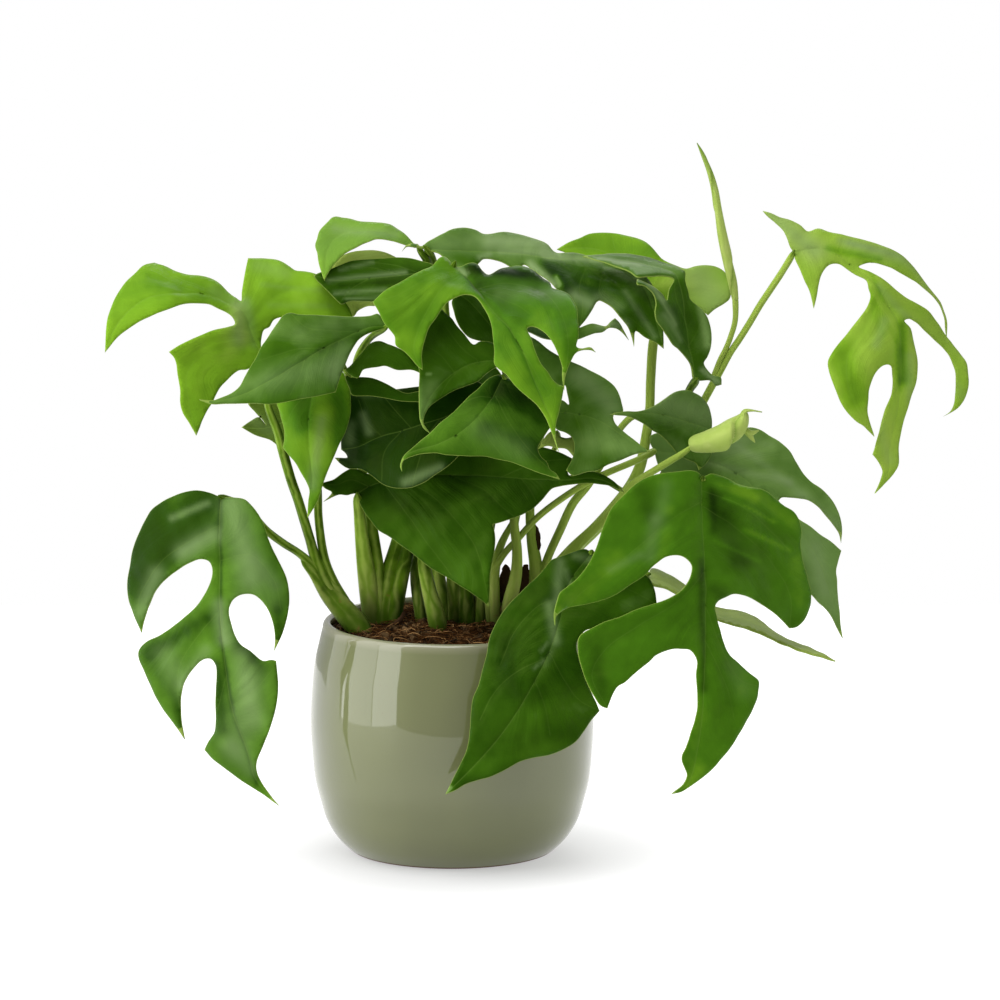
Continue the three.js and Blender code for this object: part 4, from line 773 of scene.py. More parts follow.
# %% Leaf drawings in the middle
LEAVES |= read_drawings("""
leaf_centre_right dark 0.76
outline 548,411 553,401 563,400 569,404 567,392 565,385 560,390 548,386 537,371 530,352 *526,334
538,341 548,349 560,356 571,361 580,365 590,370 600,375 608,380 614,385 619,393 622,402 623,411
614,412 615,421 625,431 636,440 *649,450 636,453 620,460 606,465 598,470 585,472 573,475 *566,470
571,461 574,452 574,442 571,436 565,432 557,429 550,420
rib 548,411 575,413 600,420 622,434 649,450
veins 565,412 580,395 600,388 610,385 / 580,414 600,405 622,402 / 590,417 600,440 605,464 / 575,413
583,440 573,474
depth 528,338,-28 571,361,-38 622,402,-42 649,450,-56 566,470,-60 552,411,-48
strokes 585,440,635,450,9,0.3 560,380,575,395,6,-0.2 540,350,560,380,9,-0.2
bloom 580,375,612,405,11,0.45

leaf_centre mid -0.15
outline 503,375 500,373 492,375 485,380 478,387 470,394 462,402 455,410 448,416 440,422 430,432
420,440 412,447 404,454 401,460 400,466 *402,471 402,463 404,459 410,456 420,453 430,452 437,452
445,454 455,455 470,456 485,456 495,458 510,461 520,465 530,469 540,473 550,476 *560,479 556,473
550,469 547,462 541,456 538,448 541,441 547,432 552,423 547,408 536,395 521,381
rib 503,375 490,400 467,427 438,443 420,448 404,454
veins 495,392 508,420 528,448 560,479 / 478,415 490,440 505,458 / 493,395 480,395 462,402 / 455,435
470,450
depth 503,375,-46 402,471,-74 440,422,-62 500,458,-70 560,479,-76 549,424,-62 478,420,-64
strokes 503,378,542,408,12,-0.9 495,388,518,400,12,-0.7 528,442,545,455,10,-0.4
490,425,510,438,9,-0.35 500,385,475,400,8,-0.3 430,435,500,445,14,0.2 404,458,402,468,4,0.7
bloom 480,430,520,450,12,0.15

leaf_centre_arch dark 0.48
outline 503,360 498,366 494,368 487,373 478,381 466,386 455,390 440,399 430,407 425,416 424,423
*430,433 424,428 421,420 420,410 420,395 420,385 420,372 417,360 418,345 424,330 433,318 441,309
446,313 452,318 457,325 465,334 474,344 480,341 492,342 500,348
rib 503,360 475,362 450,376 432,396 421,420
veins 480,361 465,350 445,325 / 460,370 450,380 440,398 / 455,372 440,355 425,345
depth 503,360,-36 433,318,-30 430,433,-58 418,360,-46 455,390,-44 492,342,-30
strokes 432,385,425,415,8,0.35 440,330,490,350,12,-0.25 426,374.5,431,374.5,0.8,1.2

leaf_centre_back dark 0.55
outline 503,340 500,345 488,342 477,340 469,337 462,330 457,321 454,311 452,301 458,293 470,288
485,290 497,305 502,322
rib 503,340 485,318 470,302 458,293
depth 503,340,-24 453,300,-20 485,290,-14

leaf_centre_left dark -0.9
outline 480,400 474,430 464,448 457,457 447,466 436,474 425,482 412,487 400,488 390,487 380,483
370,475 360,469 347,468 339,463 *333,457 338,457 346,457 344,453 *339,449 341,436 342,426 343,412
345,396 352,393 380,391 420,386 450,384 475,380 484,386
rib 480,400 450,414 420,424 397,431 380,436 357,447 339,449
veins 440,418 425,440 412,487 / 410,427 395,410 380,392 / 380,436 365,420 358,400 / 400,430 385,450
380,482
depth 352,395,-14 339,449,-12 333,457,-12 400,488,-40 447,466,-42 484,386,-20 474,430,-32
420,424,-30
strokes 400,430,440,445,14,-0.3 350,455,375,460,8,-0.3
bloom 350,390,395,392,5,0.3 362,415,368,432,4,0.4 405,482,440,468,5,0.4 352,425,350,440,5,0.25

leaf_ribbon dark 0.38
outline 434,380 428,371 415,363 410,357 405,352 396,347 388,344 380,341 373,342 368,345 362,352
355,360 350,366 *344,370 350,375 358,378 363,370 370,368 378,367 385,366 397,370 412,370 421,374
428,382
depth 344,370,-31 380,341,-26 415,363,-30 434,380,-33 385,366,-29
bloom 395,388,430,394,3,0.4

leaf_layer dark -0.29
outline 440,397 436,391 420,391 406,393 398,390 385,383 372,378 360,377 350,377 *345,373 345,378
349,388 352,395 370,396 385,398 400,401 420,402 435,402
depth 345,373,-26 436,391,-31 352,395,-29 385,383,-27

leaf_centre_low dark 0.02
outline 357,493 348,495 340,495 *324,502 330,497 333,493 326,489 *321,484 328,482 335,480 342,475
348,471 352,469 360,470 368,474 378,472 400,462 430,452 470,444 505,443 525,446 538,446 548,448
560,452 *572,458 567,470 570,476 580,473 590,471 600,473 608,477 615,482 *624,492 616,488 608,485
600,484 590,483 575,484 560,486 552,488 547,493 543,498 537,504 533,508 525,513 515,517 500,522
*492,524 494,531 495,540 494,552 492,565 490,578 489,590 488,600 *488,607 480,600 470,592 460,586
445,577 430,568 420,560 410,552 400,545 388,536 378,530 370,520 363,510 359,501
rib 357,493 372,484 400,478 430,474 465,473 500,475 535,478 565,480 590,478 606,481 624,492
veins 400,478 430,495 460,525 480,560 488,607 / 380,481 400,505 425,540 450,575 / 450,473 485,490
500,505 515,517 / 520,477 530,490 537,503 / 500,475 535,462 572,458 / 368,486 352,480 338,485
321,484
depth 357,493,-12 321,484,-20 324,502,-18 430,478,-24 488,607,-50 492,524,-42 543,498,-38
624,492,-44 572,458,-34 430,568,-34 363,510,-16 480,445,-16 368,474,-10
strokes 370,488,425,512,16,-0.4 400,520,470,585,18,0.25 484,560,486,600,4,0.4

leaf_tucked_centre olive 0.64
outline 557,431 550,432 543,440 *538,449 548,446 556,448 566,449 *573,456 575,451 577,444 575,437
566,438 560,436
depth 557,431,-44 538,449,-46 573,456,-46
""")
print("leaves so far:", len(LEAVES))

# %% Leaf drawings at the back
LEAVES |= read_drawings("""
leaf_back_left mid -0.1
outline 339,338 326,326 308,321 292,322 284,332 272,350 262,372 *262,390 282,388 300,378 316,372
322,384 *326,392 336,380 342,362 344,348
rib 339,338 320,345 298,360 262,390
veins 325,342 310,330 290,325 / 318,347 322,370 326,392
depth 339,338,20 262,390,74 308,321,52 326,392,46 300,350,56

leaf_back_centre mid -0.2
outline 470,360 486,362 500,374 509,396 508,418 496,432 480,438 500,446 520,460 530,482 *527,508
510,494 492,486 478,492 476,520 466,545 *452,560 444,535 440,508 430,494 414,498 *398,516 396,492
404,472 420,458 438,452 446,440 430,436 414,440 *402,450 402,432 410,416 424,402 436,386 446,370
458,362
rib 470,360 466,400 462,440 460,480 456,520 452,560
veins 466,400 440,410 415,425 402,450 / 462,450 430,462 408,485 398,516 / 462,450 500,462 520,482
527,508 / 468,385 490,395 505,410
depth 470,360,52 452,560,108 527,508,88 398,516,84 509,396,60 402,450,66 462,460,92

leaf_back_right mid 0.1
outline 640,505 650,496 676,492 705,494 735,503 760,516 778,532 *792,560 772,560 752,548 735,545
744,565 *748,588 728,578 712,560 700,551 680,541 660,531 648,520
rib 640,505 680,512 720,522 760,538 792,560
veins 690,514 715,540 748,588 / 670,510 700,498 730,503 / 700,517 735,520 765,530
depth 640,505,26 792,560,96 748,588,84 676,492,54 680,541,40 735,520,84

leaf_back_upper mid -0.3
outline 506,320 497,306 494,290 506,279 526,275 542,282 556,292 568,304 574,320 *577,336 560,340
545,338 530,332 515,326
rib 506,320 525,308 550,310 577,336
veins 520,310 525,295 530,280 / 535,308 550,298 560,297 / 530,308 540,325 550,338
depth 506,320,34 577,336,88 526,275,70 545,338,60

leaf_back_mid_right mid 0.0
outline 598,388 584,383 575,394 573,412 577,432 572,450 *576,468 592,456 602,440 606,450 *612,458
618,444 612,425 614,408 609,395
rib 598,388 594,410 590,435 576,468
veins 596,400 606,420 612,458 / 597,395 585,395 576,400
depth 598,388,30 576,468,82 612,458,72 575,394,48

leaf_back_low mid 0.1
outline 415,650 398,653 375,665 358,685 352,710 *358,741 370,724 382,716 390,727 388,752 *392,780
410,764 424,744 430,724 444,727 *458,744 463,719 458,690 446,668 430,653
rib 415,650 412,684 408,717 392,780
veins 413,675 385,688 365,713 358,741 / 412,684 435,696 450,721 458,744
depth 415,650,88 358,734,86 392,780,102 458,734,92 412,692,98

leaf_back_low_right mid -0.05
outline 520,655 505,661 492,676 486,696 484,717 *488,736 500,721 510,711 520,717 524,738 526,763
*532,780 545,763 554,742 556,721 566,724 *580,736 582,713 576,691 562,671 542,657
rib 520,655 526,684 532,717 532,780
veins 524,676 500,688 490,709 488,736 / 528,688 555,696 575,713 580,736
depth 520,655,88 488,736,90 532,780,106 580,736,76 526,701,100
""")
print("all leaves:", len(LEAVES))

# %% [markdown]
# The depth of a blade between its control points could be a plain average of them, weighted by
# distance, but that makes a flat spot at every point. A thin plate bends evenly, so it is used.

# %% Bent sheet
PLATE_REACH = 200.0


def bent_sheet(controls):
    """The depth at any sheet point, from a thin plate bent through (u, v, depth) controls.

    The plate is a plane plus, for each control, a weight times half of r squared times the log of
    r squared. The weights solve the equations that put it through every control without tilting
    it."""
    spots, depth = controls[:, :2] / PLATE_REACH, controls[:, 2]

    def bend(a, b):
        squared = ((a[:, None] - b[None]) ** 2).sum(-1)
        return 0.5 * squared * np.log(squared.clip(1e-12))

    count = len(spots)
    plane = np.column_stack([np.ones(count), spots])
    system = np.block([[bend(spots, spots), plane], [plane.T, np.zeros((3, 3))]])
    solved = np.linalg.solve(system, np.concatenate([depth, np.zeros(3)]))

    def at(places):
        places = places / PLATE_REACH
        return bend(places, spots) @ solved[:count] + solved[count] + places @ solved[count + 1:]

    return at


# %% [markdown]
# The lattice is a field of nearly even triangles. Two rows of points beside the rib keep its groove
# crisp, and points too close to the edge, the rib or a vein are left out, because they would make
# slivers.

# %% Blade lattice
BLADE_PITCH = 3.0
RIB_FLANKS = (1.2, 2.6)
CREASE_MARGIN, FIELD_MARGIN, FLANK_MARGIN = 0.3, 0.55, 0.35
CREASE_ROOM, FLANK_ROOM, RING_STEP = 0.5, 0.6, 0.7


def lattice(low, high, pitch):
    """An even field of points in rows under a pitch apart, every second row shifted by half."""
    rows = np.arange(low[1], high[1], pitch * 3**0.5 / 2)
    columns = np.arange(low[0], high[0] + pitch, pitch)
    u, v = np.meshgrid(columns, rows)
    u[1::2] += pitch / 2
    return np.column_stack([u.ravel(), v.ravel()])


def meshed(ring, creases, flanks):
    """Points and triangles that fill a ring, with edges along its creases.

    Kept points are inside and at least a share of a pitch from the ring, the creases and each
    other. The triangulation fills the hull of the ring, and the triangles whose middle is inside
    the ring are kept."""
    edge = np.vstack([ring, ring[:1]])

    def clear_of_edge(places, share):
        gaps = distance_to(places, edge)[0]
        return places[inside(places, ring) & (gaps > BLADE_PITCH * share)]

    creases = [clear_of_edge(line, CREASE_MARGIN) for line in creases]
    creases = [line for line in creases if len(line) > 1]
    field = clear_of_edge(lattice(ring.min(0), ring.max(0), BLADE_PITCH), FIELD_MARGIN)
    flanks = clear_of_edge(flanks, FLANK_MARGIN)
    for line in creases:
        field = field[distance_to(field, line)[0] > BLADE_PITCH * CREASE_ROOM]
        flanks = flanks[distance_to(flanks, line)[0] > RIB_FLANKS[0] * FLANK_ROOM]
    if len(flanks):
        near = ((field[:, None] - flanks[None]) ** 2).sum(-1).min(1)
        field = field[near > (BLADE_PITCH * CREASE_ROOM) ** 2]
    first = len(ring)
    joins = [(k, (k + 1) % first) for k in range(first)]
    for line in creases:
        joins += [(k, k + 1) for k in range(first, first + len(line) - 1)]
        first += len(line)
    spots = np.vstack([ring, *creases, field, flanks])
    made = delaunay_2d_cdt([Vector(spot) for spot in spots.tolist()], joins, [], 0, 1e-4, False)
    spots = np.array([tuple(spot) for spot in made[0]])
    faces = np.array([face for face in made[2] if len(face) == 3])
    return spots, faces[inside(spots[faces].mean(1), ring)]


# %% [markdown]
# Each point of the flat blade is measured once: its distances to rib, vein and margin, which both
# the relief and the finish read, and the strokes of painted light and shade and of painted sheen
# that fall on it.

# %% Measuring a flat blade
FINE_VEINS = 9
NO_RIB_GAP = 99.0
VEIN_SOFTENING, LEVEL_STREAK = 4.0, 0.1


def streaks(places, rib, veins):
    """A number whose level lines run with the side veins, for the fine veins between them.

    Each vein has a whole number, counted from the leaf's base, and a place takes the mean of the
    veins' numbers weighted by one over distance squared."""
    if not veins:
        return distance_to(places, rib)[0] * LEVEL_STREAK
    starts = np.array([distance_to(vein[:1], rib)[1][0] for vein in veins])
    order = starts.argsort().argsort()
    gaps = np.array([distance_to(places, vein)[0] for vein in veins])
    weights = 1 / (gaps**2 + VEIN_SOFTENING)
    return (weights * order[:, None]).sum(0) / weights.sum(0)


def painted(places, text):
    """Soft strokes added up: strength times e to the minus (distance over width) squared.

    A stroke is six numbers: the two ends, the width and the strength."""
    total = np.zeros(len(places))
    for row in listed(text)[0] if text else []:
        gap = distance_to(places, row[:4].reshape(2, 2))[0]
        total += row[5] * np.exp(-((gap / row[4]) ** 2))
    return total


def flat_blade(parts, tone):
    """A drawn leaf as flat points, triangles, each point's numbers and its place on the rib."""
    outline, sharp = listed(parts["outline"])
    ring = through(outline, BLADE_PITCH * RING_STEP, closed=True, sharp=sharp)
    veins = parts["veins"].split("/") if "veins" in parts else []
    veins = [through(listed(vein)[0], BLADE_PITCH) for vein in veins]
    rib, ribs, flanks = ring[: len(ring) // 2], [], np.zeros((0, 2))
    if "rib" in parts:
        rib = through(listed(parts["rib"])[0], BLADE_PITCH)
        ribs = [rib]
        along = np.gradient(rib, axis=0)
        across = np.column_stack([-along[:, 1], along[:, 0]])
        across /= np.linalg.norm(along, axis=1)[:, None]
        flanks = np.vstack([rib + side * across for gap in RIB_FLANKS for side in (gap, -gap)])
    flat, faces = meshed(ring, ribs + veins, flanks)

    rib_gap, along_rib = distance_to(flat, rib)
    rib_gap = rib_gap * SHEET_UNIT if ribs else np.full(len(flat), NO_RIB_GAP)
    gaps = [distance_to(flat, vein)[0] * SHEET_UNIT for vein in veins]
    numbers = {
        "rib_gap": rib_gap,
        "vein_gap": np.min(gaps, axis=0) if veins else rib_gap,
        "edge_gap": distance_to(flat, np.vstack([ring, ring[:1]]))[0] * SHEET_UNIT,
        "streak": streaks(flat, rib, veins) * FINE_VEINS,
        # The tone is the leaf's own green plus the painted light and shade of its strokes.
        "tone": tone + painted(flat, parts.get("strokes")),
        # Painted sheen where highlights fall.
        "bloom": painted(flat, parts.get("bloom")),
    }
    size = np.sqrt(np.ptp(ring, axis=0).prod()) * SHEET_UNIT
    return flat, faces, numbers, along_rib, size


# %% [markdown]
# A crease is deepest on its line and fades with distance: minus depth times e to the minus distance
# over width. The rib is the deepest, side veins are shallower, the margin turns down a little, and
# the blade is faintly uneven all over. Under the blade the rib stands out as a ridge that thins
# out towards the tip. A displacement texture could do this too, but real points also shape the
# edge and the shadows.

# %% Relief of a blade
RIB_DEPTH, RIB_WIDTH = 1.3, 7.0
VEIN_DEPTH, VEIN_WIDTH = 0.75, 4.5
GROOVE_DEPTH, GROOVE_WIDTH = 0.28, 0.7
RIDGE_HEIGHT, RIDGE_WIDTH = 0.85, 0.95
EDGE_TURN, EDGE_WIDTH = 0.55, 3.0
SWELL_HEIGHT, SWELL_BEND, SWELL_WAVES = 0.22, 0.25, 30.0
RIB_CALM, EDGE_CALM = 6, 5
BROAD_HEIGHT, BROAD_WAVES, SMALL_HEIGHT, SMALL_WAVES = 0.5, 26.0, 0.14, 9.0
RIB_THINNING = 0.7
FULL_RELIEF_SIZE = 70
WEAKEST, STRONGEST = 0.35, 1.25


def relief(middle, numbers, thinning, size, seed):
    """How far each point stands out of the bent sheet, in millimetres.

    Creases at rib, veins and margin fade with distance. Swells run between the side veins, and
    seeded waves make the rest uneven. A small leaf has less of it all."""
    rib_gap, vein_gap, edge_gap = (numbers[key] for key in ("rib_gap", "vein_gap", "edge_gap"))
    strength = np.clip(size / FULL_RELIEF_SIZE, WEAKEST, STRONGEST)
    height = -RIB_DEPTH * strength * np.exp(-rib_gap / RIB_WIDTH)
    height -= VEIN_DEPTH * strength * np.exp(-vein_gap / VEIN_WIDTH)
    height -= GROOVE_DEPTH * np.exp(-((rib_gap / GROOVE_WIDTH) ** 2)) * thinning
    height -= EDGE_TURN * strength * np.exp(-edge_gap / EDGE_WIDTH)
    order = numbers["streak"] / FINE_VEINS
    swell = np.cos(2 * pi * (order * 2 + SWELL_BEND * waves(middle, SWELL_WAVES, seed + 2)))
    fade = (1 - np.exp(-rib_gap / RIB_CALM)) * (1 - np.exp(-edge_gap / EDGE_CALM))
    height += SWELL_HEIGHT * strength * swell * fade
    broad, small = waves(middle, BROAD_WAVES, seed), waves(middle, SMALL_WAVES, seed + 1)
    return height + strength * (BROAD_HEIGHT * broad + SMALL_HEIGHT * small)


def point_normals(middle, faces, front):
    """Faces turned to the front, and each point's normal: the sum over the faces round it."""
    a, b, c = (middle[faces[:, k]] for k in range(3))
    facing = np.cross(b - a, c - a)
    turned = (facing * front[faces[:, 0]]).sum(1) < 0
    faces[turned] = faces[turned][:, ::-1]
    facing[turned] *= -1
    normal = np.zeros_like(middle)
    for k in range(3):
        np.add.at(normal, faces[:, k], facing)
    return faces, normal / np.linalg.norm(normal, axis=1)[:, None].clip(1e-9)


# %% Building blades
BLADE_THICKNESS, MARGIN_THICKNESS, MARGIN_WIDTH = 0.62, 0.42, 1.5
FIRST_SEED, SEED_STEP = 100, 10


def rim_of(faces, count):
    """Quads that close the rim, one for each side that only one triangle has."""
    pairs = np.vstack([faces[:, [0, 1]], faces[:, [1, 2]], faces[:, [2, 0]]])
    keys = pairs[:, 0] * count + pairs[:, 1]
    rims = pairs[~np.isin(keys, pairs[:, 1] * count + pairs[:, 0])]
    return np.column_stack([rims[:, 0], rims[:, 0] + count, rims[:, 1] + count, rims[:, 1]])


def blade(name, age, tone, parts, seed):
    """A leaf blade with two faces and a thin rim, from its drawing."""
    flat, faces, numbers, along_rib, size = flat_blade(parts, tone)
    depth_at = bent_sheet(listed(parts["depth"])[0])

    def place(spots):
        return in_space(spots[:, 0], spots[:, 1], depth_at(spots))

    middle = place(flat)
    right, down = place(flat + [1.0, 0.0]) - middle, place(flat + [0.0, 1.0]) - middle
    front = -np.cross(right, down)
    front /= np.linalg.norm(front, axis=1)[:, None]
    thinning = 1 - RIB_THINNING * along_rib
    middle = middle + front * relief(middle, numbers, thinning, size, seed)[:, None]
    faces, normal = point_normals(middle, faces, front)

    solid = (numbers["edge_gap"] / MARGIN_WIDTH).clip(0, 1)
    thickness = MARGIN_THICKNESS + (BLADE_THICKNESS - MARGIN_THICKNESS) * solid
    ridge = RIDGE_HEIGHT * np.exp(-((numbers["rib_gap"] / RIDGE_WIDTH) ** 2)) * thinning
    upper = middle + normal * (thickness / 2)[:, None]
    under = middle - normal * (thickness / 2 + ridge)[:, None]
    count = len(middle)
    rim = rim_of(faces, count)
    numbers = {key: np.tile(values, 2) for key, values in numbers.items()}
    numbers["under_side"] = np.repeat([0.0, 1.0], count)
    return piece(
        name.replace("leaf", "blade"), np.vstack([upper, under]),
        [faces, faces[:, ::-1] + count, rim], LEAF_FINISHES[age],
        "leaf_" + age, replaces=name, numbers=numbers, flat=len(rim),
    )


face_count = 0
for number, (name, ((age, tone), parts)) in enumerate(LEAVES.items()):
    made = blade(name, age, float(tone), parts, FIRST_SEED + SEED_STEP * number)
    face_count += len(made.data.polygons)
print("blade faces:", face_count)

# %% [markdown]
# ## Stalks
#
# Each leaf has a long stalk with a shallow groove on its upper side. It is thick and sheathed where
# it leaves the crown, slim along its length and swells into a short knee just under the blade. A
# round section carried along a smooth line gives all three, as the radius and the section are
# formulas of the place along the stalk and of the turn round it.

# %% Stalk finish
STALK_GREEN = rgba(0.135, 0.26, 0.011)
STALK_PALE = rgba(0.35, 0.48, 0.08)
STALK_DARK = rgba(0.025, 0.06, 0.002)
SHEATH_COLOUR = rgba(0.32, 0.34, 0.1)
SCAR_COLOUR = rgba(0.14, 0.07, 0.025)
STALK_CLOUDS, STALK_DRIFT, SCAR_SIZE, STALK_RELIEF = 0.012, 0.02, 0.006, 0.00018


def stalk_finish():
    """Green skin with pale lines along the stalk, a paler sheathed foot and a few brown scars.

    The tone leads from dark green over green to pale. The foot is paler, and painted shade darkens
    it again where it meets the ground."""
    finish = Finish("stalk", IOR=1.45, Specular_IOR_Level=0.18, Specular_Tint=LEAF_SPECULAR)
    turn, tone = finish.attribute("turn"), finish.attribute("tone")
    foot, ground = finish.attribute("foot"), finish.attribute("ground")
    lines = (turn * 2.5 + finish.noise(STALK_DRIFT) * 2.5).wave()
    clouds = finish.noise(STALK_CLOUDS)
    pale = lines * 0.45 + clouds * 0.3 - 0.1 + tone * 0.9
    colour = finish.blend((clouds * 2.2 - 0.55 + tone).clear(), STALK_DARK, STALK_GREEN)
    colour = finish.blend(pale.clear(), colour, STALK_PALE)
    sheath = foot * (lines * 0.5 + 0.1 + tone * 0.4)
    colour = finish.blend(sheath.clear(), colour, SHEATH_COLOUR)
    # Painted shade at the foot, where the stalks meet the soil.
    colour = finish.blend(ground * 0.85, colour, STALK_DARK)
    scars = (finish.noise(SCAR_SIZE, 4.0) - 0.66) * 9.0
    colour = finish.blend(scars.clear() * foot * 0.8, colour, SCAR_COLOUR)
    finish.feed("Base Color", colour)
    finish.feed("Roughness", 0.34 + clouds * 0.2)
    finish.bump(lines * 0.8 + finish.noise(SCAR_SIZE, 1.0) * 0.2, STALK_RELIEF)
    return finish.material


STALK_FINISH = stalk_finish()
print("stalk finish:", STALK_FINISH.name)

# %% [markdown]
# A curve object with a bevel would also make tubes, but its section can't change along the way, and
# its ends are flat discs. These tubes have round ends and a section that is a formula.

# %% Tubes
CAP_RINGS = 3


def closed_grid(rings, first, last):
    """Points and faces of rings joined side to side, with a single point closing each end.

    rings is an array of rings by points round by three, and every ring turns the same way."""
    count, sides = rings.shape[:2]
    points = np.vstack([rings.reshape(-1, 3), first, last])
    at = np.arange(count * sides).reshape(count, sides)
    after = np.roll(at, -1, axis=1)
    quads = np.stack([at[:-1], after[:-1], after[1:], at[1:]], axis=-1).reshape(-1, 4)
    poles = count * sides
    start = np.column_stack([np.full(sides, poles), after[0], at[0]])
    end = np.column_stack([np.full(sides, poles + 1), at[-1], after[-1]])
    return points, [quads, np.vstack([start, end])]


def tube(line, radius, sides, section=None, cap=1.0):
    """A closed tube along a line: points, faces, and each point's share along and turn round.

    The section stands across the line. Its first axis is across the plane that the line bends in,
    and section(turn, share) scales the radius. Round ends follow a quarter circle: radius times
    the sine, and a step out of radius times the cosine, times cap."""
    arc = np.linspace(0, pi / 2, CAP_RINGS + 2)[1:-1]
    ahead = np.gradient(line, axis=0)
    ahead /= np.linalg.norm(ahead, axis=1)[:, None]
    front = line[0] - ahead[0] * (cap * radius[0] * np.cos(arc))[:, None]
    back = line[-1] + ahead[-1] * (cap * radius[-1] * np.cos(arc[::-1]))[:, None]
    centres = np.vstack([front, line, back])
    radii = [radius[0] * np.sin(arc), radius, radius[-1] * np.sin(arc[::-1])]
    ways = [np.repeat(ahead[:1], len(arc), 0), ahead, np.repeat(ahead[-1:], len(arc), 0)]
    radii, ways = np.concatenate(radii), np.vstack(ways)
    plane = np.linalg.svd(line - line.mean(0))[2][-1]
    across = np.cross(plane, ways)
    across /= np.linalg.norm(across, axis=1)[:, None]
    over = np.cross(ways, across)
    run = run_of(centres)
    share = run / run[-1]
    turn = np.arange(sides) / sides
    scale = section(turn[None, :], share[:, None]) if section else 1.0
    reach = (radii[:, None] * scale * np.ones((1, sides)))[..., None]
    angle = (2 * pi * turn)[None, :, None]
    spokes = across[:, None] * np.cos(angle) + over[:, None] * np.sin(angle)
    ends = line[0] - ahead[0] * radius[0] * cap, line[-1] + ahead[-1] * radius[-1] * cap
    points, faces = closed_grid(centres[:, None] + reach * spokes, *ends)
    along = np.concatenate([np.repeat(share, sides), [0.0, 1.0]])
    round_it = np.concatenate([np.tile(turn, len(share)), [0.0, 0.0]])
    return points, faces, along, round_it


def joined(parts):
    """Several (points, faces, numbers...) made one: points stacked, and faces counted on."""
    points, faces, offset = [], [], 0
    for part in parts:
        points.append(part[0])
        faces += [face + offset for face in part[1]]
        offset += len(part[0])
    numbers = [np.concatenate([part[k] for part in parts]) for k in range(2, len(parts[0]))]
    return np.vstack(points), faces, *numbers


# %% [markdown]
# The stalks are drawn from the blade down, in groups that share a piece of stem. Each point has a
# sheet place, a depth and a width. A piece named crown is that stem: it lies level in the soil and
# holds its group together. A heading gives the group and the tone of its stalks, and a few stalks
# have a tone of their own.

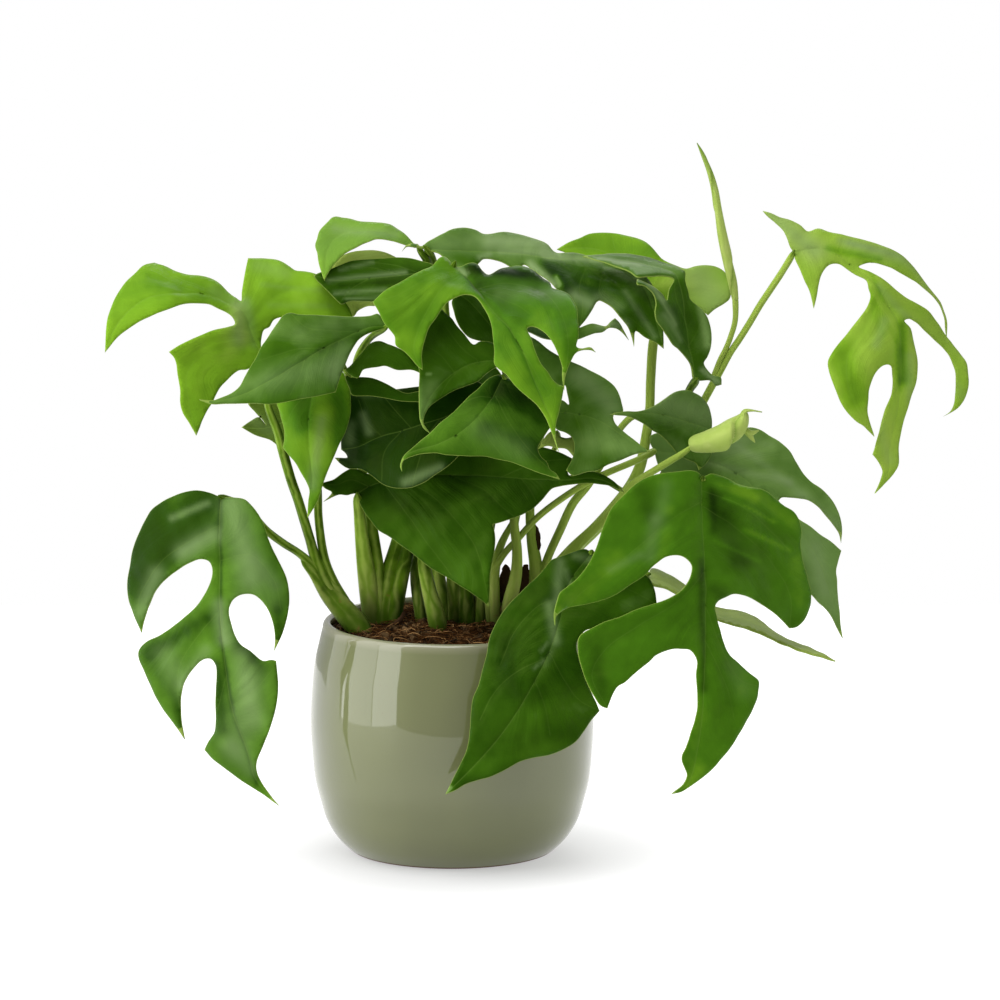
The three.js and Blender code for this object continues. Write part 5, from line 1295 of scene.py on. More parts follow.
# %% Stalk drawings
SHOOTS = read_drawings("""
shoot_left -0.1
creeping_base 302,556,-10,9 314,571,-9,13 330,594,-9,20 347,614,-12,24 360,630,-16,24 368,650,-19,18
low_left 219,496,-22,5 228,499,-16,6 244,506,-12,8 266,530,-11,8 283,543,-11,8 300,554,-11,8
325,578,-9,12 342,600,-9,14 354,624,-14,14
upper_left 262,352,-10,5 266,380,-13,6 268,406,-14,8 277,430,-14,9 283,452,-14,10 291,480,-13,10
298,500,-12,10 304,520,-11,10 310,540,-11,10 316,560,-10,11 335,598,-9,14
hanging_left 318,368,-16,4 317,378,-12,6 314,430,-8,8 318,490,-9,9 319,520,-9,9 325,560,-8,10
333,582,-8,12 345,604,-8,14
tucked_stub 314,432,-8,7 312,416,-5,5 308,405,-2,4

shoot_mid_left -0.08
crown 376,632,-1,22 389,632,-3,28 403,634,-3,22
centre_low 357,493,-12,5 358,501,-9,9 362,540,-7,14 366,570,-5,18 371,600,-2,22 378,650,1,22
front_left 388,325,-30,5 382,330,-25,6 370,338,-17,7 358,356,-10,7 354,380,-8,7 356,430,-5,8
364,480,-3,9 372,530,-2,12 378,575,-2,15 382,610,-2,18 384,650,-2,18
striped 438,270,-5,5 438,280,0,6 436,305,5,7 432,345,9,8 428,400,11,8 420,450,11,9 409,500,7,12
399,545,1,18 391,575,-1,21 386,610,-2,24 387,650,-2,22
top_left 417,245,6,5 421,252,4,6 427,262,3,7 430,290,1,7 429,330,2,8 430,380,4,8 428,430,5,9
420,495,2,11 408,550,-3,14 401,580,-4,16 395,610,-4,18 393,650,-4,16

shoot_centre 0.0
crown 424,635,-5,20 435,636,-14,26 447,636,-10,27 476,638,-9,22
olive_left 405,262,12,4 414,272,20,5 426,300,24,6 431,340,24,7 433,400,26,8 430,470,22,9
420,530,12,10 415,575,2,10 420,612,-4,12 426,650,-4,12
top_front 455,262,-18,6 450,275,-13,8 445,300,-8,8 447,330,-5,9 451,380,-4,9 452,420,-5,9
441,470,-7,10 428,520,-10,11 424,560,-15,13 429,590,-19,15 437,620,-22,19 440,650,-20,18
top_dark 424,246,0,5 431,255,5,7 437,275,11,7 441,300,16,8 445,340,20,8 447,400,22,9 447,470,19,9
444,520,12,10 438,567,0,13 442,605,-4,17 446,650,-5,17
ribbon 434,380,-33,4 438,370,-27,5 445,362,-16,6 451,372,-5,7
layer 440,397,-30,4 441,386,-28,5 445,374,-19,6 451,380,-5,7
centre_left 480,400,-23,5 484,408,-15,6 482,440,-6,7 470,480,-3,8 458,530,-8,10 453,575,-11,13
455,600,-11,15 456,650,-8,15
centre_arch 503,360,-36,5 505,372,-30,6 508,400,-19,7 503,440,-6,7 491,480,-3,8 472,540,-9,11
466,585,-12,15 467,620,-12,18 466,650,-10,17
centre_back 503,340,-24,4 507,350,-14,5 513,375,-5,6 512,420,4,7 502,470,4,8 488,540,-4,10
483,585,-9,14 479,615,-11,15 477,650,-10,14

shoot_right 0.8
crown 494,638,-10,18 512,640,-8,26 536,642,-4,26 552,644,-2,18
centre 503,375,-46,5 508,384,-42,6 515,402,-28,7 520,440,-12,7 517,475,-12,8 514,520,-22,9
517,550,-21,10 516,575,-19,12 509,607,-16,15 506,650,-10,16
tucked_centre 557,431,-44,4 558,436,-38,5 557,444,-22,5 546,464,-14,6 530,492,-12,6 513,522,-14,6
501,545,-15,8 495,570,-17,10 495,610,-16,11 498,650,-12,11
behind_right 655,450,-8,5 651,453,-15,7 640,459,-22,7 605,474,-26,7 585,484,-26,7 560,500,-25,7
537,518,-22,7 517,540,-20,7 505,553,-19,7 495,570,-18,7 489,592,-16,8 494,650,-12,10
centre_right 548,411,-48,5 546,419,-36,6 540,440,-15,7 533,480,-10,8 530,510,-11,9 532,540,-9,11
536,570,-8,14 532,610,-6,17 524,650,-6,14
mid_right 713,430,-13,4 704,429,-9,5 690,425,-9,6 658,418,-22,6 636,415,-25,7 622,426,-24,7
605,458,-23,7 588,485,-21,8 573,503,-17,9 560,530,-13,9 545,565,-9,9 535,610,-5,12 532,650,-5,12
back_top 663,312,8,6 659,322,6,8 654,340,3,10 651,380,1,10 650,410,0,10 646,440,-1,11 641,465,-1,12
632,485,-1,13 615,508,0,14 595,530,0,14 572,552,0,15 548,582,-1,16 538,612,-2,18 536,650,-2,18
upper_right 697,379,-14,7 694,383,-9,8 688,393,-5,8 683,415,-1,8 677,442,2,8 664,474,4,8 645,498,3,9
615,520,2,10
far_right 794,251,0,5 791,257,2,6 780,275,3,7 770,290,4,7 760,305,4,7 750,322,4,7 740,338,4,7
730,353,4,7 722,368,4,7 715,380,4,8 703,402,3,8 691,425,4,8 680,448,6,8 664,478,7,8 640,508,5,9
605,530,2,10
spear 735,293,4,6 735,320,4,6 731,335,4,6 726,348,4,6 720,360,4,6 715,374,4,7
rolled 692,446,-38,5 686,451,-37,5 680,455,-36,6 670,461,-34,7 660,467,-32,7 650,473,-29,7
640,479,-25,7 632,484,-21,8 605,518,-8,10 575,548,-4,12 550,585,-1,14
low_right 703,477,-62,6 702,484,-56,8 690,500,-42,9 650,530,-25,10 605,558,-11,12 570,585,-5,14
545,620,-3,16
over_pot 592,551,-48,6 590,556,-42,8 578,572,-28,9 560,592,-14,11 545,615,-6,13 535,650,-5,14
edge_on 650,574,-34,5 640,574,-28,7 615,576,-20,8 585,585,-12,9 560,600,-6,10

shoot_back 0.0
crown 438,624,28,18 450,622,32,28 466,622,32,28 480,624,28,18
back_centre 470,360,52,4 470,368,53,5 468,400,50,7 466,480,44,8 464,560,36,9 462,625,30,12
back_left 339,338,20,4 339,350,25,5 344,368,29,6 356,384,31,7 372,392,32,7 400,440,34,8 424,500,34,8
436,560,32,9 446,622,28,11
back_right 640,505,26,4 632,498,27,5 616,487,28,6 600,479,29,7 560,480,29,7 528,492,28,7
516,520,27,8 515,575,28,8 500,602,29,9 472,622,28,11
back_upper 506,320,34,4 508,332,38,5 515,360,41,6 514,400,42,7 500,470,42,8 480,560,38,8
468,620,32,10
back_mid_right 598,388,30,4 601,398,33,5 603,415,35,6 600,445,34,6 588,472,31,6 570,480,30,6
back_low 415,650,88,4 416,638,88,5 418,612,83,6 422,592,74,7 428,586,62,8 434,596,48,8 442,618,34,10
back_low_right 520,655,88,4 520,640,88,5 518,612,83,6 515,592,74,7 510,586,60,8 500,598,46,8
476,620,32,10
""")
STALK_TONES = {
    "rolled": 1.2, "low_right": 1.0, "spear": 1.1, "far_right": 0.6, "upper_right": -0.2,
    "crown": -0.3, "centre_low": 0.2, "striped": -0.3, "top_left": -0.4, "centre_arch": -0.3,
}
print("stalk drawings:", sum(len(stalks) for _, stalks in SHOOTS.values()))

# %% Building stalks
STALK_STEP, STALK_SIDES = 2.0, 20
KNEE_PLACE, KNEE_LENGTH, KNEE_SWELLING = 5, 4, 0.12
TIP_LENGTH, TIP_NARROWING = 1.8, 0.5
JOINT_TONE, JOINT_LENGTH, PALE_STALK = -0.3, 4, 1.05
FOOT_TOP, FOOT_FADE = 150.0, 25
GROUND_SHADE, GROUND_FADE = 136.0, 18
GROOVE, GROOVE_SPREAD, GROOVE_ENDS = 0.16, 0.25, 0.3


def groove(turn, share):
    """The stalk's section: round, with a shallow hollow on one side that fades at both ends."""
    off = (np.cos(2 * pi * turn) - 1) / GROOVE_SPREAD
    return 1 - GROOVE * np.exp(-(off**2)) * np.sin(pi * share) ** GROOVE_ENDS


def stalk(text, tone):
    """One stalk with its knee under the blade, its sheathed and shaded foot, and its tone.

    The knee widens the radius by a bell curve of the distance run. Foot and ground go from 0 to 1
    as the stalk comes down. The tone is dark at the joint with the blade, except on pale
    stalks."""
    line, radius = drawn_line(text, STALK_STEP)
    run = run_of(line)
    knee = 1 + KNEE_SWELLING * np.exp(-(((run - KNEE_PLACE) / KNEE_LENGTH) ** 2))
    knee -= TIP_NARROWING * np.exp(-((run / TIP_LENGTH) ** 2))
    points, faces, along, turn = tube(line, radius * knee, STALK_SIDES, groove)
    foot = ((FOOT_TOP - points[:, 2]) / FOOT_FADE).clip(0, 1)
    # ground: how much painted shade falls on the foot near the soil.
    ground = ((GROUND_SHADE - points[:, 2]) / GROUND_FADE).clip(0, 1)
    joint = np.exp(-((along * run[-1] / JOINT_LENGTH) ** 2)) * (tone < PALE_STALK)
    return points, faces, turn, foot, ground, tone + (JOINT_TONE - tone) * joint


for name, ((usual,), stalks) in SHOOTS.items():
    parts = [stalk(text, STALK_TONES.get(key, float(usual))) for key, text in stalks.items()]
    points, faces, turn, foot, ground, tone = joined(parts)
    numbers = {"turn": 1 - np.abs(2 * turn - 1), "foot": foot, "ground": ground, "tone": tone}
    piece(name.replace("shoot", "stalks"), points, faces, STALK_FINISH, "stalk", name, numbers)
    print(name, len(points), "points")

# %% [markdown]
# A few old sheaths have dried to brown flakes that still cling to the foot of the stalks. Each
# could be a torn sheet, but at this size a short tube, squeezed and crumpled, shows the same.

# %% Dry sheaths
DRY_SHEATHS = [
    "533,522,-10,3 535,531,-10,8 537,541,-10,8 539,549,-10,3",
    "506,566,-13,5 506,575,-13,12 505,586,-13,14 503,600,-13,10",
    "525,566,-8,5 526,577,-8,11 523,590,-8,14 517,603,-8,10",
    "404,612,-10,3 400,620,-12,6 392,626,-14,5 384,629,-16,2",
]
FLAKE_STEP, FLAKE_SIDES, FLAKE_CAP = 1.0, 14, 0.6
FLAKE_THINNESS, FLAKE_CURL, FLAKE_WAVES = 3, 0.25, 2.5
FLAKE_GRAIN, FLAKE_RELIEF = 0.004, 0.0004
DRY_DARK, DRY_LIGHT = rgba(0.01, 0.004, 0.0015), rgba(0.09, 0.045, 0.02)


def dry_sheath(text):
    """A flake: a short tube, three times as wide as it is thick, pinched at both ends."""
    line, radius = drawn_line(text, FLAKE_STEP)
    points, faces, *_ = tube(line, radius, FLAKE_SIDES, cap=FLAKE_CAP)
    middle = line[:, 1].mean()
    points[:, 1] = middle + (points[:, 1] - middle) / FLAKE_THINNESS
    points += FLAKE_CURL * np.column_stack([waves(points, FLAKE_WAVES, k) for k in range(3)])
    return points, faces


def dry_finish():
    """Papery dark brown, streaked lighter by noise stretched along the stalk."""
    finish = Finish("dry_sheath", IOR=1.4, Specular_IOR_Level=0.1, Roughness=0.8)
    fibre = finish.noise(FLAKE_GRAIN, 4.0, 0.6, (1, 1, 0.25))
    finish.feed("Base Color", finish.blend(fibre, DRY_DARK, DRY_LIGHT))
    finish.bump(fibre, FLAKE_RELIEF)
    return finish.material


points, faces = joined([dry_sheath(text) for text in DRY_SHEATHS])
piece("dry_sheaths", points, faces, dry_finish(), "stalk")
print("dry sheaths:", len(DRY_SHEATHS))

# %% [markdown]
# ## The newest leaves
#
# A new leaf of this plant comes up rolled like a paper cone. The roll shows as a step that winds
# round it: the radius grows with the turn, and drops back where the sheet's edge lies on the layer
# below. A sheet that is really rolled up would hide most of its layers, so one closed tube with
# that step does.

# %% Young leaf finish
YOUNG_GREEN = rgba(0.32, 0.45, 0.075)
YOUNG_PALE = rgba(0.44, 0.53, 0.15)
YOUNG_DEEP = rgba(0.13, 0.25, 0.02)
YOUNG_CLOUDS, YOUNG_LINES, FOLD_SHADE, YOUNG_RELIEF = 0.007, 4.5, 0.09, 0.00008


def young_finish():
    """Pale yellow-green, with painted shade in the step beside the edge of the roll, and fine lines
    along the leaf.
    """
    finish = Finish(
        "leaf_young", IOR=1.45, Specular_IOR_Level=0.25, Specular_Tint=LEAF_SPECULAR)
    along, fold = finish.attribute("along"), finish.attribute("fold")
    clouds = finish.noise(YOUNG_CLOUDS)
    lines = (finish.attribute("turn") * YOUNG_LINES + clouds * 2.0).wave()
    tip = (along * 2.6 - 1.7).clear() * finish.attribute("deep_tip")
    colour = finish.blend((clouds * 1.4 - 0.2).clear(), YOUNG_GREEN, YOUNG_PALE)
    colour = finish.blend(lines * 0.1, colour, YOUNG_DEEP)
    # Painted shade in the step under the overlapping edge of the roll.
    colour = finish.blend(fold.near(FOLD_SHADE) * 0.6, colour, YOUNG_DEEP)
    colour = finish.blend(tip, colour, YOUNG_DEEP)
    finish.feed("Base Color", colour)
    finish.feed("Roughness", 0.4 + clouds * 0.15)
    finish.bump(lines, YOUNG_RELIEF)
    return finish.material


YOUNG_FINISH = young_finish()
print("young leaf finish:", YOUNG_FINISH.name)

# %% New leaves
ROLL_SIDES, ROLL_STEP = 48, 0.9
LOBE_SIDES, LOBE_STEP, LOBE_CAP = 12, 0.6, 0.5
ROLLS = {
    "new_leaf_spear": {
        "width": 6.3, "flatness": 0.8, "winds": -1.6, "lead": 0.0, "step": 0.2, "cap": 0.5,
        "deep_tip": 0.9,
        "route": """735.5,299,4,8 733,283,4,11.5 728,262,4,12.6 722,235,4,12.2 718,210,4,10
            715,190,4,9 710,172,4,7.5 702,153,4,4.5 697,143,4,1""",
    },
    "new_leaf_rolled": {
        "width": 16.5, "flatness": 0.72, "winds": 1.1, "lead": 0.175, "step": 0.26, "cap": 0.2,
        "deep_tip": 0.2,
        "route": """691.5,443.5,-38,20 694,443,-38.3,23 700,442,-39,26 708,440.5,-40,29
            716,438.5,-40.5,31.5 725,435.5,-41,33 733,431,-41.5,32.5 740,424.5,-42,26
            744,417,-43,14 745,411.5,-44,6 752,410.5,-44.5,3 762,412,-45,1.5""",
    },
}
LOBES = [
    "744,430,-41,7 751,433,-41,6 759,430.5,-41,1", "747,432,-41,6 751,437,-41,5 755,442.5,-41,1",
]


def rolled(route, width, flatness, winds, lead, step, cap, deep_tip):
    """A rolled leaf: a tube whose radius grows by step over each turn of the sheet round it."""
    widest = listed(route)[0][:, 3].max()
    line, radius = drawn_line(route, ROLL_STEP, width / widest / 2)

    def sheet(turn, share):
        return (turn + winds * share + lead) % 1.0

    def section(turn, share):
        flat = np.sqrt((np.cos(2 * pi * turn) * flatness) ** 2 + np.sin(2 * pi * turn) ** 2)
        return (flat - step * (1 - sheet(turn, share))) / (1 - step * 0.5)

    points, faces, along, turn = tube(line, radius, ROLL_SIDES, section, cap)
    return points, faces, along, turn, sheet(turn, along), np.full(len(points), deep_tip)


def lobe(text):
    """A small pointed lobe at the mouth of the roll: a short tube that tapers to nothing."""
    line, radius = drawn_line(text, LOBE_STEP)
    made = tube(line, radius, LOBE_SIDES, cap=LOBE_CAP)
    even = np.ones(len(made[0]))
    return *made, 0.5 * even, 0 * even


for name, roll in ROLLS.items():
    parts = [rolled(**roll)]
    if name == "new_leaf_rolled":
        parts += [lobe(text) for text in LOBES]
    points, faces, along, turn, fold, deep_tip = joined(parts)
    turn = 1 - np.abs(2 * turn - 1)
    numbers = {"along": along, "turn": turn, "fold": fold, "deep_tip": deep_tip}
    piece(name + "_sheet", points, faces, YOUNG_FINISH, "leaf_young", name, numbers)
    print(name, len(points), "points")

# %% [markdown]
# ## The pot
#
# The pot is a swelling bowl that closes in towards a soft rounded rim, glazed all over but for its
# foot. A cylinder could be pushed into that shape by hand. Here it is turned from one profile, as
# a potter turns it: a smooth line through a few points of the side, a round lip and the same line
# again, a wall's thickness further in, which keeps the wall even.

# %% Pot shape
POT_LOW, POT_HIGH = (np.array(corner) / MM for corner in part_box("pot"))
POT_RADIUS = (POT_HIGH[0] - POT_LOW[0]) / 2
POT_HEIGHT = POT_HIGH[2] - POT_LOW[2]
POT_WALL, POT_FLOOR, FOOT_RADIUS = 4.5, 6.0, 50.0
POT_SIDES, SIDE_STEP, LIP_POINTS, AXIS_GAP = 160, 1.5, 12, 2.0
LIP_LEAN, LIP_POWER = 0.25, 0.8
POT_ROUND = np.array([
    (0.702, 0.0), (0.722, 0.003), (0.752, 0.018), (0.822, 0.063), (0.892, 0.136),
    (0.934, 0.218), (0.969, 0.305), (0.99, 0.432), (1.0, 0.563), (0.99, 0.694),
    (0.969, 0.822), (0.937, 0.908), (0.912, 0.97),
])


def turned(profile, sides=POT_SIDES):
    """Points and faces of a profile of (radius, height) turned round the upright axis.

    The profile starts and ends near the axis, and a single point on the axis closes each end."""
    angle = np.arange(sides) * (2 * pi / sides)
    radius, height = profile.T[:, :, None]
    rings = [radius * np.cos(angle), radius * np.sin(angle), height + 0 * angle]
    ends = [(0, 0, profile[k, 1]) for k in (0, -1)]
    return closed_grid(np.stack(rings, axis=-1), *ends)


side = through(POT_ROUND * (POT_RADIUS, POT_HEIGHT), SIDE_STEP)
inner = side[side[:, 1] > POT_FLOOR * 2][::-1] - (POT_WALL, 0)
lip_angle = np.linspace(0, pi, LIP_POINTS + 2)[1:-1]
lip_low = side[-1, 1]
lip = np.column_stack([
    side[-1, 0] - POT_WALL / 2 * (1 - np.cos(lip_angle)) - LIP_LEAN * np.sin(lip_angle),
    lip_low + (POT_HEIGHT - lip_low) * np.sin(lip_angle) ** LIP_POWER,
])
floor_radii = np.array([FOOT_RADIUS - 2, FOOT_RADIUS * 0.5, AXIS_GAP])
foot_radii = np.array([AXIS_GAP, FOOT_RADIUS * 0.5, FOOT_RADIUS - 1])
pot_profile = np.vstack([
    np.column_stack([foot_radii, 0 * foot_radii]), side, lip, inner,
    np.column_stack([floor_radii, 0 * floor_radii + POT_FLOOR]),
])
print("pot profile:", len(pot_profile), "points")

# %% [markdown]
# The glaze is a glossy sage green. It pools a little thinner and paler over the lip, where a
# painted highlight of the rim lies too, drifts between a greyer and a yellower green, has faint
# specks from the clay, and stops just above the foot, where a thin brown line of bare clay shows.
# Green paint with a clear coat over it does that, as the coat mirrors sharply while the paint below
# stays soft.

# %% Pot finish
GLAZE_SAGE = rgba(0.148, 0.163, 0.063)
GLAZE_GREY = rgba(0.122, 0.132, 0.056)
THIN_GLAZE_AND_RIM_HIGHLIGHT = rgba(0.22, 0.22, 0.13)
BARE_CLAY = rgba(0.1, 0.045, 0.025)
LIP_HEIGHT, LIP_FADE = 0.1135, 0.004
BARE_HEIGHT, BARE_FADE = 0.0011, 0.0006
DRIFT_SIZE, SPECK_SIZE, RIPPLE_SIZE, GRAIN_SIZE = 0.045, 0.0016, 0.022, 0.002
GLAZE_COAT, GLAZE_RELIEF = 0.85, 0.00016


def glaze_finish():
    """Two greens in slow drifts, paler on the lip with thin glaze and a painted rim highlight, and a
    brown bare line round the foot.
    """
    finish = Finish(
        "pot_glaze", IOR=1.5, Specular_IOR_Level=0.15, Coat_Roughness=0.03, Coat_IOR=1.6)
    height = finish.node("ShaderNodeSeparateXYZ", {}, (finish.place(),), output="Z")
    drifts = finish.noise(DRIFT_SIZE, 2.0, 0.5, (1, 1, 0.45))
    specks = ((finish.noise(SPECK_SIZE, 2.0) - 0.7) * 8.0).clear()
    bare = height.below(BARE_HEIGHT, BARE_FADE)
    colour = finish.blend((drifts * 1.8 - 0.4).clear(), GLAZE_GREY, GLAZE_SAGE)
    # Paler lip: thin glaze, and a painted highlight along the rim.
    colour = finish.blend(1 - height.below(LIP_HEIGHT, LIP_FADE), colour, THIN_GLAZE_AND_RIM_HIGHLIGHT)
    colour = finish.blend(specks * 0.25, colour, BARE_CLAY)
    colour = finish.blend(bare, colour, BARE_CLAY)
    finish.feed("Base Color", colour)
    finish.feed("Roughness", 0.3 + drifts * 0.1 + bare * 0.4)
    finish.feed("Coat Weight", (1 - bare) * GLAZE_COAT)
    uneven = finish.noise(RIPPLE_SIZE, 1.0) * 0.8 + finish.noise(GRAIN_SIZE) * 0.2
    finish.bump(uneven, GLAZE_RELIEF)
    return finish.material


points, faces = turned(pot_profile)
piece("glazed_pot", points, faces, glaze_finish(), "pot_glaze", "pot")
print("pot:", round(POT_RADIUS * 2, 1), "mm across,", round(POT_HEIGHT, 1), "mm high")

# %% [markdown]
# ## The soil
#
# The pot is filled with dark coir: a crumbly mound with loose crumbs, curled brown fibres and a few
# pale specks. The mound is the same kind of turned surface, lifted by noise, so that it fills the
# pot as the packed soil does.

# %% Soil finishes
SOIL_DARK = rgba(0.006, 0.003, 0.0012)
SOIL_BROWN = rgba(0.066, 0.025, 0.006)
FIBRE_PALE = rgba(0.5, 0.28, 0.11)
SPECK_PALE = rgba(0.3, 0.18, 0.08)
SOIL_GRAIN, FIBRE_GRAIN, CRUMB_GRAIN, SOIL_RELIEF = 0.0022, 0.006, 0.012, 0.0009


def soil_finish(name, shade, light, size):
    """Dull earth: two browns by noise and by each crumb's own tone."""
    finish = Finish(name, IOR=1.4, Specular_IOR_Level=0.06)
    tone = finish.attribute("tone")
    grain = finish.noise(size, 4.0, 0.65)
    finish.feed("Base Color", finish.blend((grain * 1.6 - 0.5 + tone).clear(), shade, light))
    finish.feed("Roughness", 0.75 + grain * 0.2)
    finish.bump(grain, SOIL_RELIEF)
    return finish.material


MOUND_FINISH = soil_finish("soil", SOIL_DARK, SOIL_BROWN, SOIL_GRAIN)
FIBRE_FINISH = soil_finish("coir_fibre", SOIL_BROWN, FIBRE_PALE, FIBRE_GRAIN)
CRUMB_FINISH = soil_finish("soil_crumb", SOIL_DARK, SPECK_PALE, CRUMB_GRAIN)
print("soil finishes:", MOUND_FINISH.name, FIBRE_FINISH.name, CRUMB_FINISH.name)

# %% Soil mound
SOIL_EDGE, SOIL_MOUND, SOIL_GAP, SOIL_LEDGE = 112.2, 5.3, 0.35, 1.5
SOIL_SIDES, SOIL_RINGS = 200, 58
# Each row: how high the clods stand, how far apart they are, and a seed.
CLODS = [(0.9, 9.0, 5), (0.7, 4.2, 6), (0.35, 2.1, 7)]
CLOD_SHARE, CALM_EDGE, CALMEST = 0.8, 3, 0.15
TONE_STRENGTH, TONE_WAVES, TONE_SEED = 0.12, 6.0, 8
soil_edge = np.interp(SOIL_EDGE, inner[::-1, 1], inner[::-1, 0]) - SOIL_GAP


def soil_height(x, y):
    """The mound: its edge height plus a part that falls with the square of the way to the axis."""
    return SOIL_EDGE + SOIL_MOUND * (1 - (x**2 + y**2) / soil_edge**2)


wall_line = inner[::-1][inner[::-1, 1] < SOIL_EDGE - SOIL_LEDGE] - (SOIL_GAP, 0)
radii = np.linspace(soil_edge, 1.0, SOIL_RINGS)
soil_floor = POT_FLOOR + SOIL_GAP
soil_profile = np.vstack([
    (AXIS_GAP, soil_floor), (FOOT_RADIUS - 2.4, soil_floor), wall_line,
    np.column_stack([radii, np.full(SOIL_RINGS, SOIL_EDGE)]),
])
points, faces = turned(soil_profile, SOIL_SIDES)
top = points[:, 2] >= SOIL_EDGE
clods = sum(height * waves(points, length, seed) for height, length, seed in CLODS)
edge_fade = ((soil_edge - np.hypot(points[:, 0], points[:, 1])) / CALM_EDGE).clip(CALMEST, 1)
lifted = soil_height(points[:, 0], points[:, 1]) + clods * edge_fade * CLOD_SHARE
points[:, 2] = np.where(top, lifted, points[:, 2])
numbers = {"tone": TONE_STRENGTH * waves(points, TONE_WAVES, TONE_SEED)}
piece("coir_soil", points, faces, MOUND_FINISH, "soil", "soil", numbers)
print("soil edge:", round(float(soil_edge), 1), "mm from the axis")

# %% [markdown]
# Crumbs and fibres are small solids scattered by a seeded draw. There are many more of them than
# one sees, because most hide in each other. Each has only a few faces, and every set is worked out
# as one array.

# %% Coir fibres
FIBRE_COUNT, FIBRE_SIDES, FIBRE_POINTS = 1500, 4, 7
FIBRE_HALF, FIBRE_BEND, FIBRE_RISE, FIBRE_TILT = (1.5, 6.5), 0.9, (0.2, 2.2), (-0.8, 0.9)
FIBRE_RADIUS, FIBRE_TAPER, FIBRE_LIFT = (0.08, 0.2), 0.75, 0.4
PALE_FIBRES, PALE_TONE, DARK_TONE = 0.16, (0.1, 0.6), (-0.6, -0.1)
FIBRE_MARGIN, WALL_ROOM, PULLED_IN = 5.0, 0.8, 0.86
FIBRE_SEED = 11


def on_soil(count, draw, margin):
    """Seeded places on the mound, evenly spread: the radius goes with the root of an even draw."""
    radius = (soil_edge - margin) * np.sqrt(draw.uniform(0, 1, count))
    angle = draw.uniform(0, 2 * pi, count)
    x, y = radius * np.cos(angle), radius * np.sin(angle)
    return np.column_stack([x, y, soil_height(x, y)])


def fibre_lines(count, draw):
    """Curled lines on the mound: arcs of random length and bend that rise a little in the middle.

    The heading turns evenly along the arc, and steps along the heading are added up."""
    t = np.linspace(-1, 1, FIBRE_POINTS)[None, :]
    half = draw.uniform(*FIBRE_HALF, (count, 1))
    bend = draw.normal(0, FIBRE_BEND, (count, 1))
    heading = draw.uniform(0, 2 * pi, (count, 1)) + bend * t
    step = half * 2 / (FIBRE_POINTS - 1)
    middle = heading.mean(1, keepdims=True)
    x = np.cumsum(np.cos(heading) * step, axis=1) - half * np.cos(middle)
    y = np.cumsum(np.sin(heading) * step, axis=1) - half * np.sin(middle)
    rise = draw.uniform(*FIBRE_RISE, (count, 1)) * (1 - t**2)
    rise = rise + draw.uniform(*FIBRE_TILT, (count, 1)) * t
    feet = on_soil(count, draw, FIBRE_MARGIN)
    line = feet[:, None] + np.stack([x, y, rise + FIBRE_LIFT], axis=-1)
    too_far = np.hypot(line[..., 0], line[..., 1]).max(1) > soil_edge - WALL_ROOM
    line[too_far, :, :2] *= PULLED_IN
    return line, heading, t


def fibres(count, draw):
    """Fibres round those lines, square in section and thin at both ends, most of them dark."""
    line, heading, t = fibre_lines(count, draw)
    across = np.stack([-np.sin(heading), np.cos(heading), 0 * heading], axis=-1)
    radius = draw.uniform(*FIBRE_RADIUS, (count, 1)) * (1 - FIBRE_TAPER * np.abs(t) ** 3)
    turn = np.arange(FIBRE_SIDES) * (2 * pi / FIBRE_SIDES)
    ring = across[:, :, None] * np.cos(turn)[:, None]
    ring = ring + np.array([0, 0, 1.0]) * np.sin(turn)[:, None]
    points = line[:, :, None] + ring * radius[:, :, None, None]
    at = np.arange(points[..., 0].size).reshape(points.shape[:3])
    after = np.roll(at, -1, axis=2)
    sides = np.stack([at[:, :-1], at[:, 1:], after[:, 1:], after[:, :-1]], axis=-1)
    ends = np.vstack([at[:, 0], at[:, -1, ::-1]])
    is_pale = draw.uniform(0, 1, count) < PALE_FIBRES
    tone = np.where(is_pale, draw.uniform(*PALE_TONE, count), draw.uniform(*DARK_TONE, count))
    tone = np.repeat(tone, FIBRE_POINTS * FIBRE_SIDES)
    return points.reshape(-1, 3), [sides.reshape(-1, 4), ends], tone


points, faces, tone = fibres(FIBRE_COUNT, np.random.default_rng(FIBRE_SEED))
piece("coir_fibres", points, faces, FIBRE_FINISH, "soil", numbers={"tone": tone})
print("fibres:", FIBRE_COUNT)

# %% Soil crumbs
CRUMB_COUNT, CRUMB_SEED, CRUMB_MARGIN = 1700, 12, 2.5
CRUMB_SHAPE, CRUMB_SCALE, CRUMB_LIMITS = 2.2, 0.36, (0.25, 2.4)
CRUMB_CORNERS, CRUMB_SQUASH, CRUMB_TILT = (0.55, 1.0), (0.6, 1.2), 0.5
PALE_CRUMBS, CRUMB_TONE = 0.05, (-0.35, 0.18)
BOX_FACES = [(0, 1, 3, 2), (4, 6, 7, 5), (0, 4, 5, 1), (2, 3, 7, 6), (0, 2, 6, 4), (1, 5, 7, 3)]


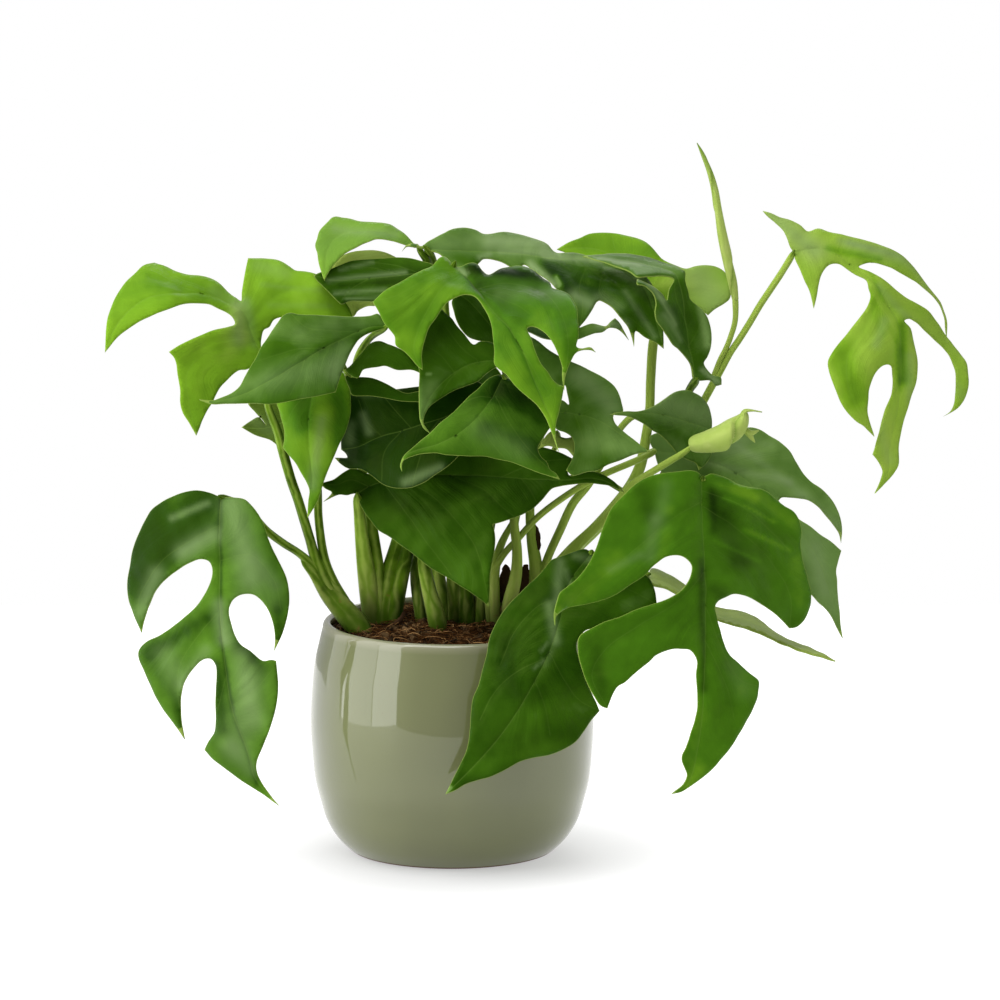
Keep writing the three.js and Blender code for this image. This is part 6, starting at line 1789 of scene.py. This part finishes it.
def crumbs(count, draw):
    """Lumps of soil: eight-cornered solids, squashed and turned at random, half sunk in."""
    signs = (-1, 1)
    corner = np.array([(x, y, z) for x in signs for y in signs for z in signs], float)
    size = draw.gamma(CRUMB_SHAPE, CRUMB_SCALE, (count, 1, 1)).clip(*CRUMB_LIMITS)
    lump = corner * draw.uniform(*CRUMB_CORNERS, (count, 8, 3)) * size
    lump = lump * draw.uniform(*CRUMB_SQUASH, (count, 1, 3))
    angle = draw.uniform(0, 2 * pi, (count, 1))
    x = lump[..., 0] * np.cos(angle) - lump[..., 1] * np.sin(angle)
    y = lump[..., 0] * np.sin(angle) + lump[..., 1] * np.cos(angle)
    tilt = draw.normal(0, CRUMB_TILT, (count, 1))
    z = lump[..., 2] * np.cos(tilt) + x * np.sin(tilt)
    x = x * np.cos(tilt) - lump[..., 2] * np.sin(tilt)
    points = on_soil(count, draw, CRUMB_MARGIN)[:, None] + np.stack([x, y, z], axis=-1)
    faces = (np.arange(count)[:, None, None] * 8 + np.array(BOX_FACES)).reshape(-1, 4)
    is_pale = draw.uniform(0, 1, count) < PALE_CRUMBS
    tone = np.where(is_pale, 1.0, draw.uniform(*CRUMB_TONE, count))
    return points.reshape(-1, 3), [faces], np.repeat(tone, 8)


points, faces, tone = crumbs(CRUMB_COUNT, np.random.default_rng(CRUMB_SEED))
numbers = {"tone": tone}
piece("soil_crumbs", points, faces, CRUMB_FINISH, "soil", numbers=numbers, flat=len(faces[0]))
print("crumbs:", CRUMB_COUNT)

# %% [markdown]
# ## Floor and light
#
# The plant stands on a plain white floor in a white studio. The floor glows like the room a little
# way off, and near the pot the glow dims to grey in a soft ring: a painted contact shadow, which
# adds to the faint real shade on the floor's grey. It reaches no further than the painted shadow
# needs. A large floor with more light on it would look the same, but it would hide the lower ends
# of the tall lights from the glaze.

# %% Floor
FLOOR_SIZE = 0.62
# The floor's own grey, and the painted contact shadow: its grey glow, the distances where it starts
# and ends, and how far its centre lies in front of the axis.
FLOOR_GREY, PAINTED_SHADOW_GLOW = rgba(0.3, 0.3, 0.3), rgba(0.45, 0.45, 0.45)
PAINTED_SHADOW_INNER, PAINTED_SHADOW_OUTER = 0.035, 0.135
PAINTED_SHADOW_SHIFT = (0, 0.03, 0)
floor_corners = np.array([(-1, -1, 0), (1, -1, 0), (1, 1, 0), (-1, 1, 0)], float) * FLOOR_SIZE
floor_mesh = bpy.data.meshes.new("floor")
floor_mesh.from_pydata(floor_corners.tolist(), [], [(0, 1, 2, 3)])
paint = Finish("floor", Base_Color=FLOOR_GREY, Roughness=0.6, Specular_IOR_Level=0.2)
moved = paint.node("ShaderNodeVectorMath", {"operation": "ADD"}, (paint.place(), PAINTED_SHADOW_SHIFT))
spread = paint.node("ShaderNodeVectorMath", {"operation": "LENGTH"}, (moved,), "Value")
# Painted shadow: the glow grows from grey near the pot to full white further off.
outside_painted_shadow = paint.node("ShaderNodeMapRange", {}, (spread, PAINTED_SHADOW_INNER, PAINTED_SHADOW_OUTER, 0.0, 1.0))
paint.surface.inputs["Emission Strength"].default_value = 1.0
paint.feed("Emission Color", paint.blend(outside_painted_shadow, PAINTED_SHADOW_GLOW, rgba(1, 1, 1)))
floor_mesh.materials.append(paint.material)
floor = placed("floor", floor_mesh)
print("floor:", FLOOR_SIZE * 2, "m wide")

# %% [markdown]
# The sky is white to the camera and dimmer for everything else, so that the dark leaves stay dark.
# A broad soft light hangs above and in front. Three tall ones stand side by side from the left to
# the front left, where the glaze mirrors them as a window, and their lower ends reach below the
# level of the floor, past its edge. Weak ones fill from the right and from behind.

# %% Sky
SKY_FOR_LIGHT, SKY_IN_GLOSS, SKY_FOR_CAMERA = 0.2, 0.55, 1.0

world = bpy.data.worlds.new("studio")
world.use_nodes = True
bpy.context.scene.world = world
nodes, links = world.node_tree.nodes, world.node_tree.links
rays = nodes.new("ShaderNodeLightPath")
strength = None
for ray, value in (("Is Glossy Ray", SKY_IN_GLOSS), ("Is Camera Ray", SKY_FOR_CAMERA)):
    choice = nodes.new("ShaderNodeMix")
    choice.inputs["A"].default_value = SKY_FOR_LIGHT
    choice.inputs["B"].default_value = value
    links.new(rays.outputs[ray], choice.inputs["Factor"])
    if strength:
        links.new(strength, choice.inputs["A"])
    strength = choice.outputs["Result"]
links.new(strength, nodes["Background"].inputs["Strength"])
nodes["Background"].inputs["Color"].default_value = rgba(1, 1, 1)
print("sky for light, gloss and camera:", SKY_FOR_LIGHT, SKY_IN_GLOSS, SKY_FOR_CAMERA)

# %% Soft lights
# Each row: azimuth, distance, height, the height of its aim, width and length, power.
LIGHTS = {
    "light_top": (-25, 0.6, 1.7, 0.15, (1.2, 1.2), 20),
    "light_edge": (-110, 1.05, 0.56, 0.56, (0.5, 2.3), 3.8),
    "light_left": (-82.6, 1.02, 0.56, 0.56, (0.587, 2.3), 11),
    "light_window": (-55, 1.04, 0.56, 0.56, (0.4, 2.3), 10.8),
    "light_right": (80, 1.6, 0.5, 0.4, (0.7, 1.0), 5.5),
    "light_back": (165, 1.4, 1.3, 0.2, (1.2, 0.7), 7),
}


def soft_light(name, azimuth, distance, height, aim, size, power):
    """A rectangular light. Azimuth 0 is in front of the plant and 90 is on its right, in degrees.

    It stands at a level distance from the axis and a height, and faces the point aim high on the
    axis."""
    turn = radians(azimuth)
    place = Vector((np.sin(turn) * distance, -np.cos(turn) * distance, height))
    lamp = bpy.data.lights.new(name, "AREA")
    lamp.shape = "RECTANGLE"
    lamp.size, lamp.size_y = size
    lamp.energy = power
    made = placed(name, lamp)
    made.location = place
    made.rotation_euler = (place - Vector((0, 0, aim))).to_track_quat("Z", "Y").to_euler()


for name, row in LIGHTS.items():
    soft_light(name, *row)
bpy.context.scene.view_settings.view_transform = "Standard"
bpy.context.scene.view_settings.look = "None"
print("soft lights:", len(LIGHTS))
